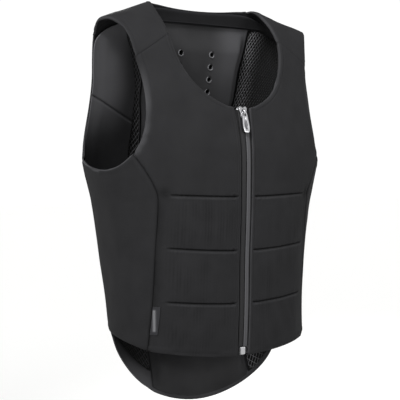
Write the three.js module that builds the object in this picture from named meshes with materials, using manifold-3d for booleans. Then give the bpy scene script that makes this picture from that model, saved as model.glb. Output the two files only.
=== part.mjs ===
// Back protector vest: a sleeveless zipped vest with a perforated foam back plate and a rounded tail.
// Millimetres, +Z up, front at -Y, +X to the wearer's left. z = 0 is where the straps sit on the shoulders.
import * as THREE from 'three';
import { mergeVertices } from 'three/addons/utils/BufferGeometryUtils.js';
import Module from 'manifold-3d';

const wasm = await Module();
wasm.setup();

// Body form, from the shoulders down: half width, depth in front and behind of the middle plane,
// how square each half is, and how far back the middle plane lies
const SECTIONS = [
  { z: 29, half: 66, front: 9, back: 11, frontSquare: 3.4, backSquare: 2.4, middle: 8 },
  { z: 20, half: 88, front: 15, back: 16, frontSquare: 3.4, backSquare: 2.4, middle: 8 },
  { z: 2, half: 131.5, front: 30, back: 25, frontSquare: 3.4, backSquare: 2.4, middle: 4 },
  { z: -16, half: 175, front: 46, back: 32, frontSquare: 3.4, backSquare: 2.6, middle: 0 },
  { z: -40, half: 184, front: 66, back: 38, frontSquare: 3, backSquare: 3, middle: 0 },
  { z: -80, half: 186, front: 83, back: 46, frontSquare: 2.5, backSquare: 3.6, middle: 0 },
  { z: -130, half: 189, front: 103, back: 61, frontSquare: 2.35, backSquare: 4, middle: 0 },
  { z: -210, half: 183, front: 119, back: 83, frontSquare: 2.35, backSquare: 4, middle: 0 },
  { z: -280, half: 165, front: 118, back: 88, frontSquare: 2.35, backSquare: 4, middle: 0 },
  { z: -350, half: 157, front: 114.5, back: 78.5, frontSquare: 2.35, backSquare: 4, middle: 0 },
  { z: -430, half: 152, front: 112.5, back: 56, frontSquare: 2.35, backSquare: 3.4, middle: 0 },
  { z: -470, half: 152.5, front: 106, back: 48, frontSquare: 2.35, backSquare: 2.7, middle: -4 },
  { z: -500, half: 154, front: 90, back: 54, frontSquare: 2.35, backSquare: 2.1, middle: -18 },
  { z: -530, half: 156, front: 76, back: 58, frontSquare: 2.35, backSquare: 1.85, middle: -30 },
  { z: -590, half: 160, front: 61, back: 54, frontSquare: 2.35, backSquare: 1.8, middle: -40 },
];

// Wall depths, measured inward from the body form
const PAD = 6;                 // quilted front at its middle
const EDGE = 2.4;              // front at its sewn edges
const SHELL = 2.6;             // side, yoke and back cloth
const LINING = { outer: 4.5, inner: 6.3 };
const FACING = { outer: 7.5, inner: 9 };
const PLATE = { outer: 4.2, inner: 19, rim: 9 };
const SEAM_GAP = 0.5;

// Outlines
const NECK = { half: 91, level: -35, drop: 103.5 };
const BACK_NECK = { level: 14, rise: 6 };
const HEM = { zip: -487, princess: -475, side: -455 };
const HEM_BOW = 1.5;
const TAIL = { drop: 121, round: 1.9 };
const ARMPIT = { zip: -203, princess: -204, side: -210, dip: 20 };
const CHEST = { zip: -138.5, arm: -148 };
const SHOULDER_DEPTH = -140;
const SIDE_SEAM_TURN = 0.2;
const SIDE_SEAM_GAP_TURN = 0.003;

// Front seam from the armhole down to the hem
const PRINCESS = [
  { z: -204, x: 155 },
  { z: -215, x: 149 },
  { z: -225, x: 141.5 },
  { z: -240, x: 133 },
  { z: -256, x: 125.8 },
  { z: -269, x: 123.2 },
  { z: -335, x: 124 },
  { z: -412, x: 125.3 },
  { z: -475, x: 130.5 },
];
// Armhole edge on the front and on the back
const FRONT_ARM = [
  { z: -204, x: 155 },
  { z: -180, x: 144.5 },
  { z: -132, x: 137 },
  { z: -97, x: 138.5 },
  { z: -71, x: 143.5 },
];
const BACK_ARM = [
  { z: -210, x: 178.4 },
  { z: -185, x: 176 },
  { z: -148, x: 169 },
  { z: -109, x: 166.5 },
  { z: -74, x: 171 },
  { z: -41, x: 174 },
];
// Edges of the strap seen from above
const STRAP_NECK = [
  { y: -61, x: 91 },
  { y: -35, x: 92 },
  { y: -8, x: 91 },
  { y: 8, x: 87.5 },
  { y: 15, x: 83 },
];
const STRAP_ARM = [
  { y: -59, x: 143.5 },
  { y: -46, x: 152 },
  { y: -30, x: 163 },
  { y: -14, x: 170 },
  { y: 0, x: 173.2 },
  { y: 19, x: 174 },
];
// Cross seams of the quilting, at the zip and at the front seam
const QUILT_SEAMS = [
  { zip: -412, princess: -405 },
  { zip: -338, princess: -331 },
  { zip: -263, princess: -259 },
];
const QUILT = { depth: 2.4, spread: 5 };
// Half width of the zip opening
const ZIP_EDGE = [
  { z: -138.5, x: 13 },
  { z: -162, x: 11.2 },
  { z: -200, x: 10 },
  { z: -270, x: 9.4 },
  { z: -487, x: 9.2 },
];
// Half width of the back plate
const PLATE_EDGE = [
  { z: -6, x: 92 },
  { z: -40, x: 89 },
  { z: -75, x: 83 },
  { z: -118, x: 82 },
  { z: -150, x: 76 },
  { z: -185, x: 73 },
  { z: -215, x: 73 },
  { z: -265, x: 77 },
  { z: -330, x: 83 },
  { z: -400, x: 86 },
  { z: -480, x: 84 },
  { z: -570, x: 84 },
];
const PLATE_ENDS = { top: -6.5, inset: 6 };
const VENTS = { radius: 4, pitch: 18.6, first: -51, rows: 13, column: 27, sides: 8 };
// Width of each armhole facing, from the armhole's edge
const FACING_RIGHT = [
  { z: -246, width: 84 },
  { z: -182, width: 81 },
  { z: -137, width: 73 },
  { z: -86, width: 70 },
  { z: -48, width: 63 },
  { z: -30, width: 52 },
];
const FACING_LEFT = [
  { z: -246, width: 16 },
  { z: -30, width: 16 },
];
const NECK_FACING = { half: 114, bottom: -5, inset: 1 };
const ARM_FACING = { inset: 9, bottom: -246, steps: 12 };

// Metal of the zip: the slider's outline and faces, its bridge, and the pull that hangs on it
const SLIDER = { z: -146, width: 12.8, waist: 9.4, up: 8.6, down: 8.6, front: 0.4, face: -1.4 };
const SLIDER_REAR = { from: 0.4, to: 1.8 };
const SLIDER_POST = { width: 3.2, height: 1.6, rise: 0.62 };
const BAIL = { outer: 5, inner: 3.1, width: 3, foot: 0.6 };
const PULL = { axisRise: 1.5, half: 1, length: 30, top: 9.2, bottom: 10.9, neck: 9 };
const PULL_EYE = { width: 4.8, end: 6.1 };
const PULL_DISH = { middle: 18.6, halfWidth: 2.7, halfHeight: 6.9, depth: 0.6 };
const BOX = { foot: 6.8, width: 8, shoulder: 3, height: 10.6, lift: 1.6, face: 0.2, rear: 4.2 };
const METAL_BEVEL = 0.4;
const LABEL = { top: -413, bottom: -452, from: 1, to: 9, outer: -1.2, inner: -0.3 };

const COLOURS = {
  shell: 0x343436,
  lining: 0x0e0e0f,
  plate: 0x2f2f31,
  zip: 0x3d3d40,
  metal: 0xb9babb,
  label: 0x55565a,
};

// A smooth curve through a table's rows that doesn't overshoot them
function curveThrough(rows, across, value) {
  const sorted = [...rows].sort((p, q) => p[across] - q[across]);
  const at = sorted.map((row) => row[across]);
  const high = sorted.map((row) => row[value]);
  const last = at.length - 1;
  const rise = at.slice(1).map((x, i) => (high[i + 1] - high[i]) / (x - at[i]));
  const slope = at.map((_, i) => {
    if (i === 0 || i === last) return rise[Math.min(i, last - 1)];
    const product = rise[i - 1] * rise[i];
    return product > 0 ? (2 * product) / (rise[i - 1] + rise[i]) : 0;
  });
  return (x) => {
    const inside = THREE.MathUtils.clamp(x, at[0], at[last]);
    const found = at.findIndex((edge) => edge > inside);
    const i = found < 0 ? last - 1 : found - 1;
    const width = at[i + 1] - at[i];
    const t = (inside - at[i]) / width;
    const bend = width * ((1 - t) * slope[i] - t * slope[i + 1]) + (2 * t - 1) * (high[i + 1] - high[i]);
    return THREE.MathUtils.lerp(high[i], high[i + 1], t) + t * (1 - t) * bend;
  };
}

const { lerp, smoothstep } = THREE.MathUtils;
const halfAt = curveThrough(SECTIONS, 'z', 'half');
const frontAt = curveThrough(SECTIONS, 'z', 'front');
const backAt = curveThrough(SECTIONS, 'z', 'back');
const frontSquareAt = curveThrough(SECTIONS, 'z', 'frontSquare');
const backSquareAt = curveThrough(SECTIONS, 'z', 'backSquare');
const middleAt = curveThrough(SECTIONS, 'z', 'middle');
const princessX = curveThrough(PRINCESS, 'z', 'x');
const frontArmX = curveThrough(FRONT_ARM, 'z', 'x');
const backArmX = curveThrough(BACK_ARM, 'z', 'x');
const strapNeckX = curveThrough(STRAP_NECK, 'y', 'x');
const strapArmX = curveThrough(STRAP_ARM, 'y', 'x');
const zipEdgeX = curveThrough(ZIP_EDGE, 'z', 'x');
const plateX = curveThrough(PLATE_EDGE, 'z', 'x');

// The body form: each level is half a rounded box in front and half a squarer one behind
function fullness(x, z, square) {
  return Math.max(1 - (Math.abs(x) / halfAt(z)) ** square, 0) ** (1 / square);
}
const frontY = (x, z) => middleAt(z) - frontAt(z) * fullness(x, z, frontSquareAt(z));
const backY = (x, z) => middleAt(z) + backAt(z) * fullness(x, z, backSquareAt(z));
const onFront = (x, z) => new THREE.Vector3(x, frontY(x, z), z);
const onBack = (x, z) => new THREE.Vector3(x, backY(x, z), z);

// A point by its turn round the body: -1 at the centre front, 0 at the side, 1 at the centre back
function around(turn, z) {
  const square = turn < 0 ? frontSquareAt(z) : backSquareAt(z);
  const depth = turn < 0 ? -frontAt(z) : backAt(z);
  const angle = Math.abs(turn) * Math.PI / 2;
  const x = halfAt(z) * Math.cos(angle) ** (2 / square);
  return new THREE.Vector3(x, middleAt(z) + depth * Math.sin(angle) ** (2 / square), z);
}
function frontTurn(x, z) {
  return -Math.acos((x / halfAt(z)) ** (frontSquareAt(z) / 2)) * 2 / Math.PI;
}

// Below 1 inside the body form, 1 on it
function levelOf(x, y, z) {
  const reach = y - middleAt(z);
  const square = reach < 0 ? frontSquareAt(z) : backSquareAt(z);
  const depth = reach < 0 ? frontAt(z) : backAt(z);
  return (Math.abs(x) / halfAt(z)) ** square + (Math.abs(reach) / depth) ** square;
}

// The height of the shoulder over a point in plan
function onShoulder(x, y) {
  let low = SHOULDER_DEPTH;
  let high = SECTIONS[0].z;
  for (let i = 0; i < 40; i += 1) {
    const level = (low + high) / 2;
    if (levelOf(x, y, level) < 1) low = level;
    else high = level;
  }
  return new THREE.Vector3(x, y, low);
}

// The way out of the body form at a point on it
function outward({ x, y, z }) {
  const step = 0.4;
  return new THREE.Vector3(
    levelOf(x + step, y, z) - levelOf(x - step, y, z),
    levelOf(x, y + step, z) - levelOf(x, y - step, z),
    levelOf(x, y, z + step) - levelOf(x, y, z - step),
  ).normalize();
}

// A closed mesh from points and faces, turned so that its faces point out
function closedGeometry(points, faces) {
  let volume = 0;
  const cross = new THREE.Vector3();
  for (const [a, b, c] of faces) volume += points[a].dot(cross.crossVectors(points[b], points[c]));
  const index = faces.flatMap(([a, b, c]) => (volume > 0 ? [a, b, c] : [a, c, b]));
  const geometry = new THREE.BufferGeometry().setFromPoints(points);
  return geometry.setIndex(index);
}

// A wall over a grid of points on the body form, between two depths given by row and column
function wall(grid, outerDepth, innerDepth) {
  const rows = grid.length;
  const columns = grid[0].length;
  const points = [];
  for (const depth of [outerDepth, innerDepth]) {
    grid.forEach((row, i) => row.forEach((p, j) => {
      points.push(p.clone().addScaledVector(outward(p), -depth(i, j)));
    }));
  }
  const id = (layer, i, j) => layer * rows * columns + i * columns + j;
  const faces = [];
  const quad = (a, b, c, d) => faces.push([a, b, c], [a, c, d]);
  for (let i = 0; i + 1 < rows; i += 1) {
    for (let j = 0; j + 1 < columns; j += 1) {
      quad(id(0, i, j), id(0, i, j + 1), id(0, i + 1, j + 1), id(0, i + 1, j));
      quad(id(1, i, j), id(1, i + 1, j), id(1, i + 1, j + 1), id(1, i, j + 1));
    }
  }
  const end = rows - 1;
  const side = columns - 1;
  for (let j = 0; j < side; j += 1) {
    quad(id(1, 0, j), id(1, 0, j + 1), id(0, 0, j + 1), id(0, 0, j));
    quad(id(0, end, j), id(0, end, j + 1), id(1, end, j + 1), id(1, end, j));
  }
  for (let i = 0; i < end; i += 1) {
    quad(id(0, i, 0), id(0, i + 1, 0), id(1, i + 1, 0), id(1, i, 0));
    quad(id(1, i, side), id(1, i + 1, side), id(0, i + 1, side), id(0, i, side));
  }
  return closedGeometry(points, faces);
}
const even = (depth) => () => depth;

// The same shape on the other side of the body
function mirrored(geometry) {
  const copy = geometry.clone().scale(-1, 1, 1);
  const index = copy.getIndex().array;
  for (let i = 0; i < index.length; i += 3) [index[i + 1], index[i + 2]] = [index[i + 2], index[i + 1]];
  return copy;
}

// Boolean joins and cuts
function toSolid(geometry) {
  const plain = geometry.clone();
  plain.deleteAttribute('normal');
  plain.deleteAttribute('uv');
  const merged = mergeVertices(plain, 1e-4);
  return new wasm.Manifold(new wasm.Mesh({
    numProp: 3,
    vertProperties: new Float32Array(merged.getAttribute('position').array),
    triVerts: new Uint32Array(merged.getIndex().array),
  }));
}
function toGeometry(solid) {
  const mesh = solid.getMesh();
  const geometry = new THREE.BufferGeometry();
  geometry.setAttribute('position', new THREE.BufferAttribute(new Float32Array(mesh.vertProperties), 3));
  return geometry.setIndex([...mesh.triVerts]);
}
const joined = (first, ...others) => others.reduce((sum, one) => sum.add(toSolid(one)), toSolid(first));

const vest = new THREE.Group();
function addPiece(name, geometry, colour, finish = { roughness: 0.9, metalness: 0 }, parent = vest) {
  const mesh = new THREE.Mesh(geometry, new THREE.MeshStandardMaterial({ color: colour, ...finish }));
  mesh.name = name;
  parent.add(mesh);
}
function addPair(name, geometry, colour) {
  addPiece(`${name}_left`, geometry, colour);
  addPiece(`${name}_right`, mirrored(geometry), colour);
}

// Rows of the lower body, hem to armpit: each cross seam has a row on it and one at either side
const ROWS_BETWEEN = [0.3, 0.65];

function lowerRows() {
  const rows = [{ ...HEM, groove: 0 }];
  let below = HEM;
  for (const seam of [...QUILT_SEAMS, ARMPIT]) {
    for (const part of ROWS_BETWEEN) {
      const zip = lerp(below.zip, seam.zip, part);
      rows.push({ zip, princess: lerp(below.princess, seam.princess, part), groove: 0 });
    }
    for (const shift of seam === ARMPIT ? [0] : [-QUILT.spread, 0, QUILT.spread]) {
      const groove = seam === ARMPIT || shift !== 0 ? 0 : QUILT.depth;
      rows.push({ zip: seam.zip + shift, princess: seam.princess + shift, groove });
    }
    below = seam;
  }
  return rows.map((row) => {
    const share = (row.princess - HEM.princess) / (ARMPIT.princess - HEM.princess);
    return { ...row, share, side: lerp(HEM.side, ARMPIT.side, share) };
  });
}
const LOWER = lowerRows();

// Front panel: zip edge and neckline inside, front seam and armhole outside
const FRONT_COLUMNS = [0, 0.04, 0.11, 0.22, 0.36, 0.5, 0.64, 0.77, 0.88, 0.95, 1];
const UPPER_STEPS = [0.34, 0.67, 1];
const NECK_STEPS = [0.14, 0.28, 0.42, 0.57, 0.71, 0.86, 1];

function frontGrid() {
  const gap = SEAM_GAP / 2;
  const edges = LOWER.map((row) => ({
    inner: { x: zipEdgeX(row.zip), z: row.zip },
    outer: { x: princessX(row.princess) - gap, z: row.princess },
    bow: HEM_BOW,
  }));
  for (const step of UPPER_STEPS) {
    const zip = lerp(ARMPIT.zip, CHEST.zip, step);
    const arm = lerp(ARMPIT.princess, CHEST.arm, step);
    edges.push({ inner: { x: zipEdgeX(zip), z: zip }, outer: { x: frontArmX(arm), z: arm }, bow: 1 });
  }
  const start = Math.asin(zipEdgeX(CHEST.zip) / NECK.half);
  const top = FRONT_ARM.at(-1).z - gap;
  for (const step of NECK_STEPS) {
    const angle = lerp(start, Math.PI / 2, step);
    const arm = lerp(CHEST.arm, top, step);
    const inner = { x: NECK.half * Math.sin(angle), z: NECK.level - gap - NECK.drop * Math.cos(angle) };
    edges.push({ inner, outer: { x: frontArmX(arm), z: arm }, bow: 1 });
  }
  return edges.map(({ inner, outer, bow }) => FRONT_COLUMNS.map((u) => (
    onFront(lerp(inner.x, outer.x, u), lerp(inner.z, outer.z, u ** bow))
  )));
}
function frontPanel() {
  const grid = frontGrid();
  const end = grid.length - 1;
  const outer = (i, j) => {
    const u = FRONT_COLUMNS[j];
    const fade = smoothstep(u, 0, 0.03) * (1 - smoothstep(u, 0.86, 0.96));
    return (LOWER[i]?.groove ?? 0) * fade;
  };
  const inner = (i, j) => {
    const u = FRONT_COLUMNS[j];
    const across = smoothstep(u, 0.1, 0.24) * (1 - smoothstep(u, 0.86, 0.97));
    const along = smoothstep(i, 0, 2) * (1 - smoothstep(i, end - 3, end));
    return lerp(EDGE, PAD, across * along);
  };
  return wall(grid, outer, inner);
}
addPair('front', frontPanel(), COLOURS.shell);

// Side panel: from the front seam round to the side seam, its top hollowed for the arm
const SIDE_COLUMNS = [0, 0.1, 0.22, 0.36, 0.5, 0.64, 0.78, 0.9, 1];

function sidePanel() {
  const grid = LOWER.map((row) => {
    const start = frontTurn(princessX(row.princess) + SEAM_GAP / 2, row.princess);
    const finish = SIDE_SEAM_TURN - SIDE_SEAM_GAP_TURN;
    return SIDE_COLUMNS.map((u) => {
      const dip = ARMPIT.dip * row.share ** 3 * Math.sin(Math.PI * u ** 0.8);
      const z = lerp(row.princess, row.side, u ** lerp(0.8, 1, row.share)) - dip;
      return around(lerp(start, finish, u), z);
    });
  });
  return wall(grid, even(0), even(SHELL));
}
addPair('side', sidePanel(), COLOURS.shell);

// Columns of the back from the armhole in to the neck corner, and on to the middle
const YOKE_BACK_COLUMNS = [1, 0.965, 0.915, 0.85, 0.77, 0.68, 0.58];
const NECK_BACK_COLUMNS = [STRAP_NECK.at(-1).x / STRAP_ARM.at(-1).x, 0.32, 0.16];

// Shoulder yoke: over the ridge, from the forward shoulder seam to the back, its columns on the back's
const YOKE_ROWS = [0, 0.12, 0.25, 0.38, 0.5, 0.62, 0.74, 0.86, 1];
const YOKE_COLUMNS = [...YOKE_BACK_COLUMNS, NECK_BACK_COLUMNS[0]].reverse().map((u) => (
  (u - NECK_BACK_COLUMNS[0]) / (1 - NECK_BACK_COLUMNS[0])
));

function yoke() {
  const seam = YOKE_COLUMNS.map((u) => onFront(
    lerp(NECK.half, FRONT_ARM.at(-1).x, u),
    lerp(NECK.level, FRONT_ARM.at(-1).z, u) + SEAM_GAP / 2,
  ));
  const [backNeck, backArm] = [STRAP_NECK.at(-1), STRAP_ARM.at(-1)];
  const neckY = (w) => lerp(seam[0].y, backNeck.y, w);
  const armY = (w) => lerp(seam.at(-1).y, backArm.y, w);
  const grid = YOKE_ROWS.map((w) => YOKE_COLUMNS.map((u, j) => {
    const x = lerp(strapNeckX(neckY(w)), strapArmX(armY(w)), u);
    return onShoulder(x, lerp(seam[j].y, lerp(backNeck.y, backArm.y, u), w));
  }));
  return wall(grid, even(0), even(SHELL));
}
addPair('yoke', yoke(), COLOURS.shell);

// Outer back: side seams and armholes at its edges, the neck and yoke seams above, the tail below
const HALF_BACK_COLUMNS = [...YOKE_BACK_COLUMNS, ...NECK_BACK_COLUMNS];
const BACK_COLUMNS = [...HALF_BACK_COLUMNS.map((u) => -u), 0, ...HALF_BACK_COLUMNS.reverse()];
const BACK_UPPER_STEPS = [0.12, 0.25, 0.39, 0.53, 0.67, 0.8, 0.91, 1];

const sideSeamX = (z) => around(SIDE_SEAM_TURN + SIDE_SEAM_GAP_TURN, z).x;
const tailZ = (u) => HEM.side - TAIL.drop * Math.max(1 - Math.abs(u) ** TAIL.round, 0) ** (1 / TAIL.round);
function backTopZ(x) {
  const reach = Math.abs(x);
  const [neck, arm] = [STRAP_NECK.at(-1), STRAP_ARM.at(-1)];
  if (reach <= neck.x) return BACK_NECK.level + BACK_NECK.rise * (reach / neck.x) ** 2 - SEAM_GAP;
  const share = (reach - neck.x) / (arm.x - neck.x);
  return onShoulder(reach, lerp(neck.y, arm.y, share) + SEAM_GAP).z;
}
function backPanel() {
  const top = BACK_ARM.at(-1);
  const lower = LOWER.map((row) => BACK_COLUMNS.map((u) => (
    onBack(u * sideSeamX(row.side), lerp(tailZ(u), ARMPIT.side, row.share))
  )));
  const upper = BACK_UPPER_STEPS.map((step) => BACK_COLUMNS.map((u) => {
    const edge = lerp(ARMPIT.side, top.z, step);
    return onBack(u * backArmX(edge), lerp(ARMPIT.side, backTopZ(u * top.x), step));
  }));
  return wall([...lower, ...upper], even(0), even(SHELL));
}
addPiece('back_panel', backPanel(), COLOURS.shell);

// Back plate: foam that thins to its rim, drilled with two columns of vents
const PLATE_COLUMNS = [-1, -0.93, -0.84, -0.56, -0.28, 0, 0.28, 0.56, 0.84, 0.93, 1];
const PLATE_ROWS = 22;

function platePoint(u, share) {
  const x = u * plateX(lerp(HEM.side - TAIL.drop + PLATE_ENDS.inset, PLATE_ENDS.top, share));
  const bottom = tailZ(x / sideSeamX(HEM.side)) + PLATE_ENDS.inset;
  return onBack(x, lerp(bottom, PLATE_ENDS.top, share));
}
function backPlate() {
  const shares = Array.from({ length: PLATE_ROWS + 1 }, (_, i) => i / PLATE_ROWS);
  const grid = shares.map((share) => PLATE_COLUMNS.map((u) => platePoint(u, share)));
  const inner = (i, j) => {
    const across = 1 - smoothstep(Math.abs(PLATE_COLUMNS[j]), 0.84, 1);
    const along = smoothstep(i, 0, 1.5) * (1 - smoothstep(i, PLATE_ROWS - 1.5, PLATE_ROWS));
    return lerp(PLATE.rim, PLATE.inner, across * along);
  };
  let plate = toSolid(wall(grid, even(PLATE.outer), inner));
  for (let row = 0; row < VENTS.rows; row += 1) {
    for (const side of [-1, 1]) {
      const place = onBack(side * VENTS.column, VENTS.first - row * VENTS.pitch);
      const way = outward(place);
      const drill = new THREE.CylinderGeometry(VENTS.radius, VENTS.radius, PLATE.inner * 2, VENTS.sides);
      drill.applyQuaternion(new THREE.Quaternion().setFromUnitVectors(new THREE.Vector3(0, 1, 0), way));
      drill.translate(...place.addScaledVector(way, -PLATE.inner / 2));
      plate = plate.subtract(toSolid(drill));
    }
  }
  return toGeometry(plate);
}
addPiece('back_protector', backPlate(), COLOURS.plate);

// Net lining beside the plate, from under the yoke to the tail
const LINING_COLUMNS = [0, 0.25, 0.5, 0.7, 0.87, 1];
const LINING_ROWS = 28;
const LINING_INSET = { plate: 2, edge: 4, top: 14 };
const LINING_TAIL = { left: 8, right: 26 };

const backEdgeX = (z) => (z > ARMPIT.side ? backArmX(z) : sideSeamX(Math.max(z, HEM.side)));
function liningPoint(u, share, tailInset) {
  const tailHalf = sideSeamX(HEM.side);
  let z = lerp(HEM.side - TAIL.drop, NECK_FACING.bottom, share);
  let x = 0;
  for (let round = 0; round < 6; round += 1) {
    x = lerp(plateX(z) + LINING_INSET.plate, backEdgeX(z) - LINING_INSET.edge, u);
    const bottom = tailZ(x / tailHalf) + tailInset;
    const top = Math.min(backTopZ(x) - LINING_INSET.top, NECK_FACING.bottom - LINING_INSET.edge);
    z = lerp(bottom, top, share);
  }
  return onBack(x, z);
}
function meshLining(tailInset) {
  const shares = Array.from({ length: LINING_ROWS + 1 }, (_, i) => i / LINING_ROWS);
  const grid = shares.map((share) => LINING_COLUMNS.map((u) => liningPoint(u, share, tailInset)));
  return wall(grid, even(LINING.outer), even(LINING.inner));
}
addPiece('mesh_lining_left', meshLining(LINING_TAIL.left), COLOURS.lining);
addPiece('mesh_lining_right', mirrored(meshLining(LINING_TAIL.right)), COLOURS.lining);

// Smooth facings over the lining at the neck and at the back of the armholes
function neckFacing() {
  const columns = [-1, -0.84, -0.6, -0.3, 0, 0.3, 0.6, 0.84, 1];
  const grid = [0, 0.5, 1].map((v) => columns.map((u) => {
    const x = u * NECK_FACING.half;
    return onBack(x, lerp(NECK_FACING.bottom, backTopZ(x) - NECK_FACING.inset, v));
  }));
  return wall(grid, even(FACING.outer), even(FACING.inner));
}
addPiece('neck_facing', neckFacing(), COLOURS.shell);

const FACING_COLUMNS = [0, 0.25, 0.5, 0.75, 1];

function armholeFacing(rows) {
  const widthAt = curveThrough(rows, 'z', 'width');
  const shares = Array.from({ length: ARM_FACING.steps + 1 }, (_, i) => i / ARM_FACING.steps);
  const grid = shares.map((share) => FACING_COLUMNS.map((u) => {
    let z = ARM_FACING.bottom;
    let inset = 0;
    for (let round = 0; round < 6; round += 1) {
      inset = LINING_INSET.edge / 2 + u * widthAt(z);
      const top = backTopZ(BACK_ARM.at(-1).x - inset) - ARM_FACING.inset;
      z = lerp(ARM_FACING.bottom, top, share);
    }
    return onBack(backEdgeX(z) - inset, z);
  }));
  return wall(grid, even(FACING.outer), even(FACING.inner));
}
addPiece('armhole_facing_left', armholeFacing(FACING_LEFT), COLOURS.shell);
addPiece('armhole_facing_right', mirrored(armholeFacing(FACING_RIGHT)), COLOURS.shell);

// Zip halves: a domed band each side of the centre line, with a flange behind the front
const TAPE_SECTION = [
  { x: 0.35, depth: 4 },
  { x: 17, depth: 4 },
  { x: 17, depth: 3 },
  { x: 7.4, depth: 3 },
  { x: 7.2, depth: 1.6 },
  { x: 5.4, depth: 0.8 },
  { x: 1.6, depth: 0.9 },
  { x: 0.35, depth: 1.5 },
];
const TAPE = { top: -142, bottom: -474, steps: 18 };

function zipTape() {
  const points = [];
  for (let i = 0; i <= TAPE.steps; i += 1) {
    const middle = onFront(0, lerp(TAPE.bottom, TAPE.top, i / TAPE.steps));
    const way = outward(middle);
    for (const { x, depth } of TAPE_SECTION) {
      points.push(new THREE.Vector3(x, 0, 0).add(middle).addScaledVector(way, -depth));
    }
  }
  const count = TAPE_SECTION.length;
  const faces = [];
  for (let i = 0; i < TAPE.steps; i += 1) {
    for (let k = 0; k < count; k += 1) {
      const [a, b] = [i * count + k, i * count + ((k + 1) % count)];
      faces.push([a, b, b + count], [a, b + count, a + count]);
    }
  }
  const outline = TAPE_SECTION.map(({ x, depth }) => new THREE.Vector2(x, -depth));
  for (const [a, b, c] of THREE.ShapeUtils.triangulateShape(outline, [])) {
    const top = TAPE.steps * count;
    faces.push([a, c, b], [top + a, top + b, top + c]);
  }
  return closedGeometry(points, faces);
}
addPair('zip_tape', zipTape(), COLOURS.zip);

// Slider and pull, in a frame laid on the chest at the top of the zip, outward along -Y
const METAL = { roughness: 0.3, metalness: 1 };
const head = new THREE.Group();
head.position.copy(onFront(0, SLIDER.z));
head.rotation.x = Math.atan((frontAt(SLIDER.z + 5) - frontAt(SLIDER.z - 5)) / 10);
vest.add(head);

// A flat outline in X and Z given a thickness between two Y levels, with softened edges
function plateOf(shape, fromY, toY) {
  const geometry = new THREE.ExtrudeGeometry(shape, {
    depth: toY - fromY - 2 * METAL_BEVEL,
    bevelThickness: METAL_BEVEL,
    bevelSize: METAL_BEVEL,
    bevelOffset: -METAL_BEVEL,
    bevelSegments: 1,
    curveSegments: 4,
  });
  return geometry.rotateX(Math.PI / 2).translate(0, toY - METAL_BEVEL, 0);
}
function sliderOutline() {
  const wide = SLIDER.width / 2;
  const waist = SLIDER.waist / 2;
  const shape = new THREE.Shape();
  shape.moveTo(-waist * 0.7, -SLIDER.down);
  shape.lineTo(waist * 0.7, -SLIDER.down);
  shape.quadraticCurveTo(waist, -SLIDER.down, waist, -SLIDER.down * 0.7);
  shape.lineTo(waist, 0);
  shape.lineTo(wide, SLIDER.up * 0.55);
  shape.lineTo(wide * 0.9, SLIDER.up);
  shape.lineTo(wide * 0.3, SLIDER.up * 0.94);
  shape.lineTo(0, SLIDER.up * 0.72);
  shape.lineTo(-wide * 0.3, SLIDER.up * 0.94);
  shape.lineTo(-wide * 0.9, SLIDER.up);
  shape.lineTo(-wide, SLIDER.up * 0.55);
  shape.lineTo(-waist, 0);
  shape.lineTo(-waist, -SLIDER.down * 0.7);
  shape.quadraticCurveTo(-waist, -SLIDER.down, -waist * 0.7, -SLIDER.down);
  return shape;
}
function slider() {
  const tapeBack = TAPE_SECTION[0].depth;
  const face = plateOf(sliderOutline(), SLIDER.face, SLIDER.front);
  const rear = plateOf(sliderOutline(), tapeBack + SLIDER_REAR.from, tapeBack + SLIDER_REAR.to);
  const postDepth = tapeBack + SLIDER_REAR.to - METAL_BEVEL;
  const post = new THREE.BoxGeometry(SLIDER_POST.width, postDepth, SLIDER_POST.height);
  post.translate(0, postDepth / 2 - SLIDER.front / 2, SLIDER.up * SLIDER_POST.rise);
  const arch = new THREE.Shape();
  arch.absarc(0, 0, BAIL.outer, 0, Math.PI, false);
  arch.lineTo(-BAIL.outer, -BAIL.foot);
  arch.lineTo(-BAIL.inner, -BAIL.foot);
  arch.absarc(0, 0, BAIL.inner, Math.PI, 0, true);
  arch.lineTo(BAIL.inner, -BAIL.foot);
  arch.lineTo(BAIL.outer, -BAIL.foot);
  const bail = new THREE.ExtrudeGeometry(arch, { depth: BAIL.width, bevelEnabled: false, curveSegments: 10 });
  bail.translate(0, 0, -BAIL.width / 2).rotateZ(Math.PI).rotateY(Math.PI / 2).translate(0, SLIDER.face, 0);
  return toGeometry(joined(face, rear, post, bail));
}
addPiece('zip_slider', slider(), COLOURS.metal, METAL, head);

function pull() {
  const axisY = SLIDER.face - PULL.axisRise;
  const [top, low, eye] = [PULL.top / 2, PULL.bottom / 2, PULL_EYE.width / 2];
  const shape = new THREE.Shape();
  shape.moveTo(-top, PULL.half);
  shape.lineTo(-top, -PULL.neck);
  shape.lineTo(-low, 1.4 * low - PULL.length);
  shape.absarc(0, low - PULL.length, low, Math.PI, 2 * Math.PI, false);
  shape.lineTo(low, 1.4 * low - PULL.length);
  shape.lineTo(top, -PULL.neck);
  shape.lineTo(top, PULL.half);
  const window = new THREE.Path();
  window.moveTo(-eye, -PULL.half);
  window.lineTo(-eye, -PULL_EYE.end);
  window.lineTo(eye, -PULL_EYE.end);
  window.lineTo(eye, -PULL.half);
  shape.holes.push(window);
  const sharp = { bevelEnabled: false, curveSegments: 5 };
  const paddle = new THREE.ExtrudeGeometry(shape, { ...sharp, depth: 2 * PULL.half });
  paddle.rotateX(Math.PI / 2).translate(0, axisY + PULL.half, 0);
  const dish = new THREE.Shape();
  dish.absellipse(0, -PULL_DISH.middle, PULL_DISH.halfWidth, PULL_DISH.halfHeight, 0, 2 * Math.PI, false);
  const hollow = new THREE.ExtrudeGeometry(dish, { ...sharp, depth: PULL.half });
  hollow.rotateX(Math.PI / 2).translate(0, axisY - PULL.half + PULL_DISH.depth, 0);
  return toGeometry(toSolid(paddle).subtract(toSolid(hollow)));
}
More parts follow.
